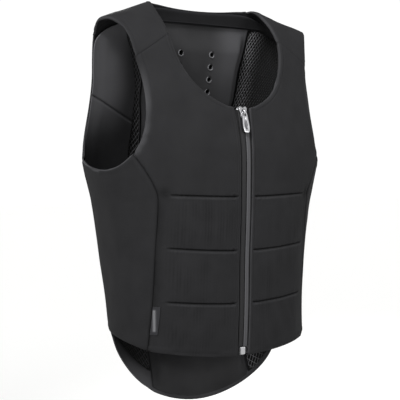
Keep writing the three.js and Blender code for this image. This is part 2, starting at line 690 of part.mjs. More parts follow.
addPiece('zip_pull', pull(), COLOURS.metal, METAL, head);

// Box at the zip's lower end
function zipBox() {
  const [foot, side] = [BOX.foot / 2, BOX.width / 2];
  const outline = new THREE.Shape();
  outline.moveTo(-foot, 0);
  outline.lineTo(foot, 0);
  outline.lineTo(side, BOX.shoulder);
  outline.lineTo(side, BOX.height);
  outline.lineTo(-side, BOX.height);
  outline.lineTo(-side, BOX.shoulder);
  outline.closePath();
  const place = onFront(0, HEM.zip + BOX.lift);
  return plateOf(outline, BOX.face, BOX.rear).translate(0, place.y, place.z);
}
addPiece('zip_box', zipBox(), COLOURS.metal, METAL);

// Plain tab in the right front seam
function sideLabel() {
  const grid = [0, 0.33, 0.67, 1].map((share) => [0, 0.5, 1].map((u) => {
    const z = lerp(LABEL.bottom, LABEL.top, share);
    return onFront(princessX(z) - lerp(LABEL.from, LABEL.to, u), z);
  }));
  return mirrored(wall(grid, even(LABEL.outer), even(LABEL.inner)));
}
addPiece('side_label', sideLabel(), COLOURS.label);

export default vest;
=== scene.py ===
# Back protector vest: cloth, foam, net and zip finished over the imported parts
import math

import bpy
import numpy as np
from mathutils import Matrix, Vector, noise
from mathutils.bvhtree import BVHTree
from mathutils.kdtree import KDTree


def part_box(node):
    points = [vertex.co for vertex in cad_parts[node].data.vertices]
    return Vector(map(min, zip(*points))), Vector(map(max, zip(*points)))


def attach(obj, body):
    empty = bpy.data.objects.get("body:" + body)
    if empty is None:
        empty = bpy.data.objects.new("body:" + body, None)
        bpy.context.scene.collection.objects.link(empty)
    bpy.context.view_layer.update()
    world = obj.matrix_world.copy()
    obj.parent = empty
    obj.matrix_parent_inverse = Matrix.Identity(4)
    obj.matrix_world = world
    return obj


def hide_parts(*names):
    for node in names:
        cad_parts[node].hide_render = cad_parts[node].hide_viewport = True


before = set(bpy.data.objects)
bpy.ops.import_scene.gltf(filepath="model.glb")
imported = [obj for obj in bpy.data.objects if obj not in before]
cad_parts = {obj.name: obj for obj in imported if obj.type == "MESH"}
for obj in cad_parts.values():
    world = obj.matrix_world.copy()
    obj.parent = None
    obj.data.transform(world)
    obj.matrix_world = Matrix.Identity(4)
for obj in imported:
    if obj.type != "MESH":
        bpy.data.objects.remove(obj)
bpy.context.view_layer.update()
scene = bpy.context.scene
mm = 0.001
vestMiddle = np.array([0.0, 0.0, -0.25])  # every outer face looks away from here
chestRadius = 0.13  # cloth is unrolled around the chest at this radius
print("frame loaded,", len(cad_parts), "parts")

# Camera: three quarters from the wearer's right, nearly level
cameraSettings = {
    "turn": 30.0,
    "rise": 1.7,
    "away": 1.4,
    "aim": (0.0, 0.0, -0.26),
    "lens": 84.04,
    "shiftX": -0.011,
    "shiftY": -0.0195,
}


def placeCamera(settings):
    turn = math.radians(settings["turn"])
    rise = math.radians(settings["rise"])
    level = math.cos(rise)
    look = Vector((math.sin(turn) * level, math.cos(turn) * level, -math.sin(rise)))
    bpy.ops.object.camera_add(location=Vector(settings["aim"]) - look * settings["away"])
    camera = bpy.context.object
    camera.rotation_euler = look.to_track_quat("-Z", "Y").to_euler()
    camera.data.lens = settings["lens"]
    camera.data.shift_x = settings["shiftX"]
    camera.data.shift_y = settings["shiftY"]
    scene.camera = camera


placeCamera(cameraSettings)

# Studio: a wide white floor in an even white room, a key from the upper left, soft lights from the front
# right and from behind, and a black flag over the far shoulder that keeps the light off it
studioSettings = {
    "room": 1.04,
    "floor": -0.95,
    "floorSize": 30.0,
    "softboxes": [
        {"place": (-1.5, -1.0, 1.5), "aim": (0, -0.03, -0.02), "size": 0.9, "spread": 28, "watts": 6},
        {"place": (0.9, -2.2, 0.2), "aim": (0, 0, -0.2), "size": 0.8, "spread": 40, "watts": 1.5},
        {"place": (0.4, 2.4, 0.6), "aim": (0, 0.08, -0.25), "size": 0.8, "spread": 40, "watts": 7},
    ],
    "flag": {"place": (0.5, 0.42, 0.72), "size": 1.5},
}


def selectOnly(piece):
    bpy.ops.object.select_all(action="DESELECT")
    piece.select_set(True)
    bpy.context.view_layer.objects.active = piece


def applyModifier(piece, kind, **settings):
    modifier = piece.modifiers.new(kind.lower(), kind)
    for name, value in settings.items():
        setattr(modifier, name, value)
    selectOnly(piece)
    bpy.ops.object.modifier_apply(modifier=modifier.name)


def linear(hexColour):
    channels = [int(hexColour[i:i + 2], 16) / 255 for i in (1, 3, 5)]
    return [c / 12.92 if c <= 0.04045 else ((c + 0.055) / 1.055) ** 2.4 for c in channels] + [1.0]


def newMaterial(name):
    material = bpy.data.materials.new(name)
    material.use_nodes = True
    material.node_tree.nodes.clear()
    return material


def addNode(material, kind, settings=None, values=None, links=None):
    node = material.node_tree.nodes.new(kind)
    for name, value in (settings or {}).items():
        setattr(node, name, value)
    for socket, value in (values or {}).items():
        node.inputs[socket].default_value = value
    for socket, source in (links or {}).items():
        material.node_tree.links.new(source, node.inputs[socket])
    return node


def bandScale(period):
    bandAtScaleOne = 0.31416  # how far apart a Wave texture's bands are at scale 1
    return bandAtScaleOne / period


def spotScale(size):
    return 1 / size  # a Noise texture's scale for spots about this size


# Seamless backdrop paper: matt white with a faint tooth, so the floor fades into the background
def backdropPaper(name, colour):
    material = newMaterial(name)
    place = addNode(material, "ShaderNodeTexCoord")
    tooth = addNode(material, "ShaderNodeTexNoise", None, {"Scale": spotScale(2.381 * mm), "Detail": 3.0},
                    {"Vector": place.outputs["Object"]})
    bump = addNode(material, "ShaderNodeBump", None, {"Strength": 0.05, "Distance": 0.0003},
                   {"Height": tooth.outputs["Fac"]})
    shader = addNode(material, "ShaderNodeBsdfPrincipled", None,
                     {"Base Color": linear(colour), "Roughness": 0.95},
                     {"Normal": bump.outputs["Normal"]})
    addNode(material, "ShaderNodeOutputMaterial", None, None, {"Surface": shader.outputs["BSDF"]})
    return material


def studioSheet(name, size, place, turn, material):
    bpy.ops.mesh.primitive_grid_add(x_subdivisions=12, y_subdivisions=12, size=size, location=place,
                                    rotation=turn)
    sheet = bpy.context.object
    sheet.name = name
    selectOnly(sheet)
    bpy.ops.object.transform_apply(location=True, rotation=True)
    sheet.data.materials.append(material)
    return sheet


def buildStudio(settings):
    paper = backdropPaper("backdropPaper", "#fbfbfa")
    studioSheet("studioFloor", settings["floorSize"], (0, 0, settings["floor"]), (0, 0, 0), paper)
    flag = settings["flag"]
    facing = Vector(flag["place"]).to_track_quat("Z", "Y").to_euler()
    felt = backdropPaper("blackFlagFelt", "#050505")
    blackFlag = studioSheet("studioFlag", flag["size"], flag["place"], facing, felt)
    blackFlag.visible_camera = False
    for number, box in enumerate(settings["softboxes"]):
        bpy.ops.object.light_add(type="AREA", location=box["place"])
        light = bpy.context.object
        light.name = f"softbox{number}"
        light.data.size = box["size"]
        light.data.energy = box["watts"]
        light.data.spread = math.radians(box["spread"])
        way = Vector(box["aim"]) - Vector(box["place"])
        light.rotation_euler = way.to_track_quat("-Z", "Y").to_euler()
    world = bpy.data.worlds.new("whiteRoom")
    world.use_nodes = True
    world.node_tree.nodes["Background"].inputs["Color"].default_value = (1, 1, 1, 1)
    world.node_tree.nodes["Background"].inputs["Strength"].default_value = settings["room"]
    scene.world = world
    scene.view_settings.view_transform = "Standard"  # white paper stays white


buildStudio(studioSettings)
print("camera and studio ready")


# Polyester softshell: a matt brushed knit, near black, with a fine cross weave drawn a little coarse so that
# it shows, uneven dye in soft clouds, a lighter colour mixed in for edge wear with painted highlight and for
# other painted light, and near black mixed in for black thread with painted shade in the seams
def softshell(name, colour, lightened, weave=1.1 * mm, relief=0.25):
    material = newMaterial(name)
    place = addNode(material, "ShaderNodeTexCoord")
    warp, weft = [addNode(material, "ShaderNodeTexWave", {"bands_direction": direction},
                          {"Scale": bandScale(weave), "Distortion": 0.6, "Detail": 1.0},
                          {"Vector": place.outputs["UV"]}) for direction in "XY"]
    threads = addNode(material, "ShaderNodeMath", {"operation": "MULTIPLY"}, None,
                      {0: warp.outputs["Fac"], 1: weft.outputs["Fac"]})
    cloud = addNode(material, "ShaderNodeTexNoise", None,
                    {"Scale": spotScale(35.71 * mm), "Detail": 4.0, "Roughness": 0.6},
                    {"Vector": place.outputs["Object"]})
    mixed = addNode(material, "ShaderNodeMath", {"operation": "MULTIPLY_ADD"}, {1: 0.35},
                    {0: threads.outputs["Value"], 2: cloud.outputs["Fac"]})
    shade = addNode(material, "ShaderNodeValToRGB", None, None, {"Fac": mixed.outputs["Value"]})
    for element, position, factor in zip(shade.color_ramp.elements, (0.3, 0.85), (0.84, 1.2)):
        element.position = position
        element.color = [channel * factor for channel in linear(colour)[:3]] + [1]
    # mixed lighter where this attribute is set: painted highlight and painted light on the cloth, wear along
    # its edges, and the label's stripe
    lighten = addNode(material, "ShaderNodeAttribute", {"attribute_name": "lighten"})
    toned = addNode(material, "ShaderNodeMix", {"data_type": "RGBA"}, {"B": linear(lightened)},
                   {"Factor": lighten.outputs["Fac"], "A": shade.outputs["Color"]})
    # mixed to near black where this attribute is set: black thread with painted shade in seam grooves, and
    # painted shade in hollows and rib troughs
    sunk = addNode(material, "ShaderNodeAttribute", {"attribute_name": "sunk"})
    toned = addNode(material, "ShaderNodeMix", {"data_type": "RGBA"}, {"B": linear("#030303")},
                   {"Factor": sunk.outputs["Fac"], "A": toned.outputs["Result"]})
    rough = addNode(material, "ShaderNodeMapRange", None, {"To Min": 0.74, "To Max": 0.92},
                    {"Value": cloud.outputs["Fac"]})
    bump = addNode(material, "ShaderNodeBump", None, {"Strength": relief, "Distance": 0.0004},
                   {"Height": threads.outputs["Value"]})
    shader = addNode(material, "ShaderNodeBsdfPrincipled", None,
                     {"IOR": 1.5, "Specular IOR Level": 0.05, "Sheen Weight": 0.01, "Sheen Roughness": 0.4},
                     {"Base Color": toned.outputs["Result"], "Roughness": rough.outputs["Result"],
                      "Normal": bump.outputs["Normal"]})
    addNode(material, "ShaderNodeOutputMaterial", None, None, {"Surface": shader.outputs["BSDF"]})
    return material


def vertexValues(piece, kind):
    values = np.empty(len(piece.data.vertices) * 3)
    piece.data.vertices.foreach_get(kind, values)
    return values.reshape(-1, 3)


def pointsOf(piece):
    return vertexValues(piece, "co")


def setPoints(piece, points):
    piece.data.vertices.foreach_set("co", points.ravel())
    piece.data.update()


def smoothStep(value, low, high):
    share = np.clip((value - low) / (high - low), 0, 1)
    return share * share * (3 - 2 * share)


# Rises from 0 to 1 between the first two stops and falls back between the last two
def fadeInOut(value, stops):
    return smoothStep(value, stops[0], stops[1]) * (1 - smoothStep(value, stops[2], stops[3]))


def bell(distance, width):
    return np.exp(-(distance / width) ** 2)


def treeOf(points):
    tree = KDTree(len(points))
    for number, point in enumerate(points):
        tree.insert(point, number)
    tree.balance()
    return tree


def distanceTo(points, targets):
    if len(targets) == 0:
        return np.full(len(points), 1.0), np.zeros(len(points), int)
    tree = treeOf(targets)
    found = [tree.find(point) for point in points]
    return np.array([hit[2] for hit in found]), np.array([hit[1] for hit in found])


def ripple(points, wavelength, seed):
    scaled = points / wavelength + np.array([seed * 7.3, seed * 3.1, seed * 5.7])
    return np.array([noise.noise(point) for point in scaled])


def layUv(piece, across, along):
    layer = piece.data.uv_layers.new(name="cloth")
    corners = np.empty(len(piece.data.loops), int)
    piece.data.loops.foreach_get("vertex_index", corners)
    layer.data.foreach_set("uv", np.stack([across[corners], along[corners]], 1).ravel())


def setAttribute(piece, name, values):
    layer = piece.data.attributes.new(name, "FLOAT", "POINT")
    layer.data.foreach_set("value", np.clip(values, 0, 1))


def finishPiece(piece, body, slotName, material, *nodes):
    piece.data.materials.clear()
    piece.data.materials.append(material)
    piece.data.polygons.foreach_set("material_index", np.zeros(len(piece.data.polygons), int))
    selectOnly(piece)
    bpy.ops.object.shade_smooth()
    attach(piece, body)
    if nodes:
        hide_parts(*nodes)


def editAll():
    bpy.ops.object.mode_set(mode="EDIT")
    bpy.ops.mesh.select_all(action="SELECT")


def roundEdges(piece, width, angle, segments=3, **settings):
    applyModifier(piece, "BEVEL", width=width, segments=segments, limit_method="ANGLE",
                  angle_limit=math.radians(angle), **settings)


# How a CAD solid becomes cloth: its triangles are merged and paired, and its corners rolled
clothSettings = {
    "merge": 0.01 * mm,
    "pairAngle": 70,
    "narrow": 0.3,  # a face smaller than this share of the usual one belongs to the rim
    "cornerAngle": 50,
    "rimSlope": 0.75,
    "nearFaces": 4,
    "nearest": 4 * mm,  # keeps a very close face from taking over
}


def quadCopy(nodeName, pieceName):
    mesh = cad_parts[nodeName].data.copy()
    mesh.name = pieceName
    piece = bpy.data.objects.new(pieceName, mesh)
    scene.collection.objects.link(piece)
    mesh.materials.clear()
    mesh.materials.append(None)
    mesh.materials.append(None)  # the second slot marks the rolled rims
    while mesh.uv_layers:
        mesh.uv_layers.remove(mesh.uv_layers[0])
    selectOnly(piece)
    editAll()
    bpy.ops.mesh.remove_doubles(threshold=clothSettings["merge"])
    bpy.ops.mesh.tris_convert_to_quads(face_threshold=math.radians(clothSettings["pairAngle"]),
                                       shape_threshold=math.pi, topology_influence=2.0)
    bpy.ops.mesh.select_all(action="DESELECT")
    bpy.ops.object.mode_set(mode="OBJECT")
    return piece


# Faces of a thin solid: their middles and normals, which of them are broad and which look outwards
def facesOf(piece):
    faces = piece.data.polygons
    centres = np.array([face.center for face in faces])
    ways = np.array([face.normal for face in faces])
    areas = np.array([face.area for face in faces])
    broad = areas > clothSettings["narrow"] * np.median(areas)
    outward = ((centres - vestMiddle) * ways).sum(1) > 0
    return centres, ways, broad, outward


# A cloth panel starts as its CAD solid, in quads, with rolled rims and one smooth surface
def clothCopy(nodeName, pieceName, rim, levels):
    piece = quadCopy(nodeName, pieceName)
    centres, ways, broad, outward = facesOf(piece)
    outer = broad & outward
    roundEdges(piece, rim, clothSettings["cornerAngle"], segments=2, material=1)
    applyModifier(piece, "SUBSURF", levels=levels, render_levels=levels)
    panel = {"piece": piece, "outerCentres": centres[outer], "outerWays": ways[outer]}
    bent = [face for face in piece.data.polygons if face.material_index == 1]
    rolled = np.array(sorted({number for face in bent for number in face.vertices}))
    steep = (vertexValues(piece, "normal")[rolled] * outwardAt(panel, pointsOf(piece)[rolled])).sum(1)
    panel["rim"] = rolled[np.abs(steep) < clothSettings["rimSlope"]]
    return panel


def outwardAt(panel, points):
    tree = treeOf(panel["outerCentres"])
    ways = np.zeros_like(points)
    for number, point in enumerate(points):
        near = tree.find_n(point, clothSettings["nearFaces"])
        ways[number] = sum(panel["outerWays"][hit[1]] / (hit[2] + clothSettings["nearest"]) for hit in near)
    return ways / np.linalg.norm(ways, axis=1)[:, None]


# Back protector: a soft foam plate in a smooth cover, drilled with two columns of vents
protectorSettings = {
    "columns": 72,
    "rows": 150,
    "top": -6.5 * mm,
    "tail": {"hem": -455 * mm, "drop": 121 * mm, "half": 152.6 * mm, "round": 1.9, "inset": 6 * mm},
    "outer": 4.2 * mm,
    "inner": 19 * mm,
    "rim": 7 * mm,
    "sideTaper": (0.84, 1),  # shares of the half width, and below of the length, where it thins to the rim
    "endTaper": (0, 0.07, 0.93, 1),
    "evenPasses": 6,  # even out the cloth's own relief
    "softEdge": 1.6 * mm,
    "edge": [(-570, 84), (-480, 84), (-400, 86), (-330, 83), (-265, 77), (-215, 73), (-185, 73), (-150, 76),
             (-118, 82), (-75, 83), (-40, 89), (-6, 92)],
    "vent": {"radius": 4.0 * mm, "pitch": 18.6 * mm, "first": -51 * mm, "rows": 13, "column": 27 * mm,
             "sides": 20, "drill": 50 * mm},
    "rimRing": {"radius": 4.5 * mm, "thick": 0.9 * mm, "proud": 0.8 * mm, "sunk": 0.5 * mm,
                "lean": np.array([-0.7, 0, -0.7])},
    # painted light on the plate's upper side edge, on the wearer's left only
    "paintedPlateLight": {"share": 0.8, "beside": (-75 * mm, -12 * mm), "heights": (-0.17, -0.05),
             "across": (-0.02, 0.03)},
}


# How far each point lies beyond the plate's side edge
def besidePlate(points):
    heights, halves = np.array(protectorSettings["edge"]).T * mm
    return np.abs(points[:, 0]) - np.interp(points[:, 2], heights, halves)


# Shell panels: each takes its node, what most of its open edge is, how far it is divided, and its fill or cut
shellSettings = {
    "frontRight": {"node": "front_right", "edge": "arm", "levels": 3, "fill": 0.35},
    "frontLeft": {"node": "front_left", "edge": "arm", "levels": 3, "fill": 0.35},
    "sideRight": {"node": "side_right", "edge": "pit", "levels": 2, "flat": (0.15, 0.29), "area": 0.0330},
    "sideLeft": {"node": "side_left", "edge": "pit", "levels": 2, "flat": (0.15, 0.29), "area": 0.0330},
    "yokeRight": {"node": "yoke_right", "edge": "strap", "levels": 3, "flat": (0.10, 0.11), "area": 0.0083},
    "yokeLeft": {"node": "yoke_left", "edge": "strap", "levels": 3, "flat": (0.10, 0.11), "area": 0.0083},
    "backPanel": {"node": "back_panel", "edge": "back", "levels": 2, "flat": (0.42, 0.62), "area": 0.1920},
}
rimRoll = 0.8 * mm
outerTurn = (-0.2, 0.5)  # from the inner face round to the outer one, as the normal's share along outwards
seamReach = 5 * mm  # rims nearer than this to another panel's are sewn together
bridgeReach = 15 * mm  # open edges nearer than this to the next panel's are carried on to it
bridgeSteps = (0.15, 0.3, 0.45, 0.6)
# where the other kinds of edge lie: half widths and heights in metres
edgePlaces = {"frontNeck": 0.128, "backNeck": 0.1, "hem": -0.44, "zipHalf": 0.018, "zip": (-0.484, -0.135)}
# how each open edge turns in: roll, over how wide, where its topstitch runs, and how much lighter its edge is
# drawn: wear with a painted highlight
edgeTurns = {
    "zip": {"roll": 1.4 * mm, "wide": 5 * mm, "stitch": 5 * mm, "lighten": 0.3, "lightWide": 2 * mm},
    "hem": {"roll": 1.2 * mm, "wide": 6 * mm, "stitch": 9 * mm, "lighten": 0.0, "lightWide": 2 * mm},
    "arm": {"roll": 2.4 * mm, "wide": 9 * mm, "stitch": 10 * mm, "lighten": 0.42, "lightWide": 12 * mm},
    "pit": {"roll": 1.4 * mm, "wide": 5 * mm, "stitch": 6 * mm, "lighten": 0.5, "lightWide": 2 * mm},
    "strap": {"roll": 2.0 * mm, "wide": 6 * mm, "stitch": 6 * mm, "lighten": 0.2, "lightWide": 3 * mm},
    "back": {"roll": 2.6 * mm, "wide": 8 * mm, "stitch": 7 * mm, "lighten": 0.2, "lightWide": 3 * mm},
    "neck": {"roll": 2.2 * mm, "wide": 6 * mm, "stitch": 7 * mm, "lighten": 0.2, "lightWide": 3 * mm},
}
armLightFrom = (0.075, 0.13)  # below the shoulder, where the wear and painted highlight along the armhole start
lightenPatches = {"usual": 0.85, "spread": 0.4, "length": 0.03, "seed": 8}
seamShape = {"valley": 1.1 * mm, "wide": 1.7 * mm, "swell": 0.5 * mm, "swellAt": 5 * mm, "swellWide": 3 * mm,
             "drawnWide": 2.5 * mm, "threadAndShade": 0.5, "threadAndShadeWide": 1.0 * mm,
             "strapShare": 0.25, "strap": (-0.11, -0.08)}
# loose folds in the cloth: height, length, and how each is drawn out along x, y and z
clothFolds = [
    {"height": 1.5 * mm, "length": 0.075, "stretch": np.array([1.0, 1.0, 1.0])},
    {"height": 0.5 * mm, "length": 0.030, "stretch": np.array([1.0, 1.0, 1.0])},
    {"height": 0.9 * mm, "length": 0.034, "stretch": np.array([1.0, 1.0, 0.28])},
    {"height": 0.35 * mm, "length": 0.013, "stretch": np.array([1.0, 1.0, 0.35])},
]
foldCalm = 30 * mm  # folds fade out this near to a seam or an edge
# the pocket the plate sits in: its rise at the back, the seam around it and the lines it bends along
pocketShape = {"rise": 2.2 * mm, "riseEdge": (-8 * mm, 6 * mm), "stitch": 9 * mm, "depth": 1.5 * mm,
               "wide": 3.2 * mm, "shade": 0.45, "flexLines": (-0.12, -0.23, -0.34, -0.45),
               "flexEnd": (4 * mm, 12 * mm)}
tailPaintedLight = {"share": 0.5, "below": (0.48, 0.54)}  # inside of the tail
stitchGroove = {"depth": 0.35 * mm, "wide": 0.8 * mm, "fold": 0.4 * mm, "foldEnd": 2 * mm}
# quilting seams across each front: height at the zip and at the side seam, in metres
quiltSettings = {
    "seams": [(-0.263, -0.259), (-0.338, -0.331), (-0.412, -0.405)],
    "hem": -0.482,
    "bow": 1.5,
    "from": 0.0094,
    "to": 0.124,
    "sewn": (0.02, 0.06, 0.83, 0.91),  # shares of the width where each seam starts and runs out
    "filled": (0, 0.2, 0.75, 0.97),  # and where the padding does
    "cad": {"depth": 2.4 * mm, "fall": 4.2 * mm, "shares": [0, 0.04, 0.77, 0.88, 0.95, 1],
            "fades": [0, 1, 1, 0.9, 0.03, 0]},  # the solid's own wide groove, filled first
    "groove": {"depth": 1.5 * mm, "wide": 1.0 * mm},
    "shoulder": {"depth": 0.15 * mm, "wide": 4 * mm},
    "lip": {"height": 0.4 * mm, "below": 3.2 * mm, "wide": 2.2 * mm},
    "pucker": {"height": 0.22 * mm, "below": 2 * mm, "wide": 6 * mm, "period": 8.5 * mm, "stray": 3},
    # the near black along each seam is black thread with painted shade in its groove, the paler line below it
    # a painted highlight on the lip, and the dimple and the rib troughs get painted shade
    "threadAndShade": {"shade": 0.85, "wide": 1.2 * mm},
    "paintedLipHighlight": {"share": 0.16, "below": 3.4 * mm, "wide": 1.3 * mm},
    "puff": 0.9 * mm,
    "dimple": {"share": 0.93, "depth": 1.5 * mm, "wide": 8 * mm, "shade": 0.35},  # top seam, at the side seam
    "rib": {"period": 4.4 * mm, "height": 0.22 * mm, "shade": 0.3, "below": (-0.28, -0.24)},
}
# painted shade along the lower side seams, and zip edges drawn up by their stitching
seamShade = {"share": 0.35, "wide": 7 * mm, "below": (0.24, 0.28, 0.40, 0.44)}
zipPucker = {"at": 11 * mm, "wide": 9 * mm, "below": -0.15, "height": 0.45 * mm, "length": 0.011,
             "stretch": np.array([0.3, 0.3, 1.0])}


def edgeKind(name, points):
    wide = np.abs(points[:, 0])
    heights = points[:, 2]
    kind = np.full(len(points), shellSettings[name]["edge"], dtype="U5")
    kind[wide < edgePlaces["frontNeck" if name.startswith("front") else "backNeck"]] = "neck"
    kind[heights < edgePlaces["hem"]] = "hem"
    foot, top = edgePlaces["zip"]
    kind[(wide < edgePlaces["zipHalf"]) & (points[:, 1] < 0) & (heights > foot) & (heights < top)] = "zip"
    return kind


def quiltRelief(points, settings):
    cad, groove, shoulder, lip = (settings[key] for key in ("cad", "groove", "shoulder", "lip"))
    pucker, threadAndShade, paintedLipHighlight = (settings[key] for key in ("pucker", "threadAndShade", "paintedLipHighlight"))
    dimple, rib = settings["dimple"], settings["rib"]
    width = settings["to"] - settings["from"]
    share = np.clip((np.abs(points[:, 0]) - settings["from"]) / width, 0, 1.2)
    sewn = fadeInOut(share, settings["sewn"])
    filled = fadeInOut(share, settings["filled"])
    wave = np.sin(points[:, 0] * 2 * math.pi / pucker["period"] + pucker["stray"] * ripple(points, 0.02, 2))
    solidDepth = np.interp(share, cad["shares"], cad["fades"]) * cad["depth"]
    relief, dark, pale = np.zeros((3, len(points)))
    lines = []
    for atZip, atSide in settings["seams"]:
        line = atZip + (atSide - atZip) * share ** settings["bow"]
        above = points[:, 2] - line
        relief += solidDepth * np.exp(-np.abs(above) / cad["fall"])
        relief -= sewn * groove["depth"] * bell(above, groove["wide"])
        relief -= sewn * shoulder["depth"] * bell(above, shoulder["wide"])
        relief += sewn * lip["height"] * bell(above + lip["below"], lip["wide"])
        relief += sewn * pucker["height"] * wave * bell(above + pucker["below"], pucker["wide"])
        # black thread with painted shade in the groove, and a painted highlight on the lip below it
        dark += sewn * threadAndShade["shade"] * bell(above, threadAndShade["wide"])
        pale += sewn * paintedLipHighlight["share"] * bell(above + paintedLipHighlight["below"], paintedLipHighlight["wide"])
        lines.append(line)
    hollow = bell(np.hypot((share - dimple["share"]) * width, points[:, 2] - lines[0]), dimple["wide"])
    relief -= dimple["depth"] * hollow
    # painted shade in the dimple
    dark = np.maximum(dark, dimple["shade"] * hollow)
    ribs = np.sin(points[:, 0] * 2 * math.pi / rib["period"]) * (0.5 + ripple(points, 0.03, 3))
    ribbed = (1 - smoothStep(points[:, 2], *rib["below"])) * filled
    relief += rib["height"] * ribs * ribbed
    # painted shade in the rib troughs
    dark = np.maximum(dark, rib["shade"] * np.clip(-ribs, 0, 1) * ribbed)
    lines.append(np.full(len(points), settings["hem"]))
    for top, bottom in zip(lines[:-1], lines[1:]):
        between = np.clip((top - points[:, 2]) / (top - bottom), 0, 1)
        relief += settings["puff"] * np.sin(math.pi * between) * filled
    return relief, dark, pale


# The fronts' own relief, and their black thread, painted shade and painted highlight: quilting, lower seams
# and zip edges
def frontDetail(points, outer, toSeam):
    relief, dark, pale = quiltRelief(points, quiltSettings)
    # painted shade on the front's side of the lower side seams
    shaded = seamShade["share"] * fadeInOut(-points[:, 2], seamShade["below"])
    dark = np.maximum(dark, shaded * outer * bell(toSeam, seamShade["wide"]))
    beside = bell(np.abs(points[:, 0]) - zipPucker["at"], zipPucker["wide"])
    beside *= points[:, 2] < zipPucker["below"]
    drawn = zipPucker["height"] * ripple(points * zipPucker["stretch"], zipPucker["length"], 6)
    return outer * (relief + beside * drawn), dark, outer * pale


# The back's: its rise over the plate, the pocket's stitching with painted shade along it, and painted light
# inside the tail, lighter towards its foot
def backDetail(points, outer):
    beside = besidePlate(points)
    rise = pocketShape["rise"] * (1 - smoothStep(beside, *pocketShape["riseEdge"]))
    stitched = bell(beside - pocketShape["stitch"], pocketShape["wide"])
    across = smoothStep(-beside, *pocketShape["flexEnd"])
    for height in pocketShape["flexLines"]:
        stitched += across * bell(points[:, 2] - height, pocketShape["wide"])
    relief = outer * (rise - pocketShape["depth"] * stitched)
    # painted light: the inside of the tail is drawn lighter towards its foot
    pale = (1 - outer) * tailPaintedLight["share"] * smoothStep(-points[:, 2], *tailPaintedLight["below"])
    # painted shade, with the thread, along the pocket's stitched lines
    return relief, pocketShape["shade"] * outer * stitched, pale


# Rim points with no other panel beside them, carried on to the next panel's where two open edges meet
def openEdges(rims, bodies):
    free = {}
    for name, rim in rims.items():
        others = np.concatenate([other for key, other in bodies.items() if key != name])
        free[name] = rim[distanceTo(rim, others)[0] >= seamReach]
    joined = {}
    for name, own in free.items():
        others = np.concatenate([other for key, other in free.items() if key != name])
        gap, nearest = distanceTo(own, others)
        near = gap < bridgeReach
        steps = [own[near] * (1 - share) + others[nearest[near]] * share for share in bridgeSteps]
        joined[name] = np.concatenate([own, *steps])
    return joined


def shapePanel(name, panel, free, others):
    piece = panel["piece"]
    points = pointsOf(piece)
    ways = outwardAt(panel, points)
    outer = smoothStep((vertexValues(piece, "normal") * ways).sum(1), *outerTurn)
    rim = points[panel["rim"]]
    gap, beside = distanceTo(rim, others)
    sewn = gap < seamReach
    toSeam, nearSeam = distanceTo(points, rim[sewn])
    closing = (others[beside] - rim)[sewn] / 2  # draws the two sewn edges together
    pulled = points + closing[nearSeam] * bell(toSeam, seamShape["drawnWide"])[:, None]
    toEdge, nearEdge = distanceTo(points, free)
    kinds = edgeKind(name, free)[nearEdge]
    firm = outer * (1 - (1 - seamShape["strapShare"]) * smoothStep(points[:, 2], *seamShape["strap"]))
    move = -firm * seamShape["valley"] * bell(toSeam, seamShape["wide"])
    move += firm * seamShape["swell"] * bell(toSeam - seamShape["swellAt"], seamShape["swellWide"])
    # black thread with painted shade in the seam's valley
    sunk = seamShape["threadAndShade"] * firm * bell(toSeam, seamShape["threadAndShadeWide"])
    lighten = np.zeros(len(points))
    for kind, turn in edgeTurns.items():
        here = kinds == kind
        curl = turn["roll"] * np.clip(1 - toEdge / turn["wide"], 0, 1) ** 2
        groove = outer * stitchGroove["depth"] * bell(toEdge - turn["stitch"], stitchGroove["wide"])
        turned = 1 - smoothStep(toEdge, turn["stitch"] - stitchGroove["foldEnd"], turn["stitch"])
        move += here * (outer * stitchGroove["fold"] * turned - curl - groove)
        # edges drawn lighter: wear, with a painted highlight where the turned edge would catch the light
        toned = turn["lighten"] * (1 - smoothStep(toEdge, 0, turn["lightWide"]))
        lighten += here * toned * (smoothStep(-points[:, 2], *armLightFrom) if kind == "arm" else 1)
    calm = smoothStep(np.minimum(toSeam, toEdge), 0, foldCalm)
    move += calm * sum(fold["height"] * ripple(points * fold["stretch"], fold["length"], number)
                       for number, fold in enumerate(clothFolds))
    relief, dark, pale = 0, 0, 0
    if name.startswith("front"):
        relief, dark, pale = frontDetail(points, outer, toSeam)
    if name == "backPanel":
        relief, dark, pale = backDetail(points, outer)
    # the painted highlight, painted light and edge wear vary in strength in soft patches
    patches = lightenPatches["spread"] * ripple(points, lightenPatches["length"], lightenPatches["seed"])
    setAttribute(piece, "lighten", (lighten + pale) * (lightenPatches["usual"] + patches))
    setAttribute(piece, "sunk", np.maximum(sunk, dark))
    setPoints(piece, pulled + ways * (move + relief)[:, None])
    if name.startswith("yoke"):
        layUv(piece, points[:, 0], points[:, 1])
    else:
        side = 1 if name == "backPanel" else -1
        layUv(piece, np.arctan2(points[:, 0], side * points[:, 1]) * chestRadius, points[:, 2])


shellCloth = softshell("softshellBlack", "#1b1b1c", "#464648")
shellPanels = {}
for name, settings in shellSettings.items():
    shellPanels[name] = clothCopy(settings["node"], name, rimRoll, settings["levels"])
shellRims = {name: pointsOf(panel["piece"])[panel["rim"]] for name, panel in shellPanels.items()}
shellBodies = {name: pointsOf(panel["piece"]) for name, panel in shellPanels.items()}
shellEdges = openEdges(shellRims, shellBodies)
for name, panel in shellPanels.items():
    others = np.concatenate([body for other, body in shellBodies.items() if other != name])
    shapePanel(name, panel, shellEdges[name], others)
    settings = shellSettings[name]
    finishPiece(panel["piece"], "vest", "softshell", shellCloth, settings["node"])
    print("shell panel", name, len(panel["piece"].data.polygons), "faces")

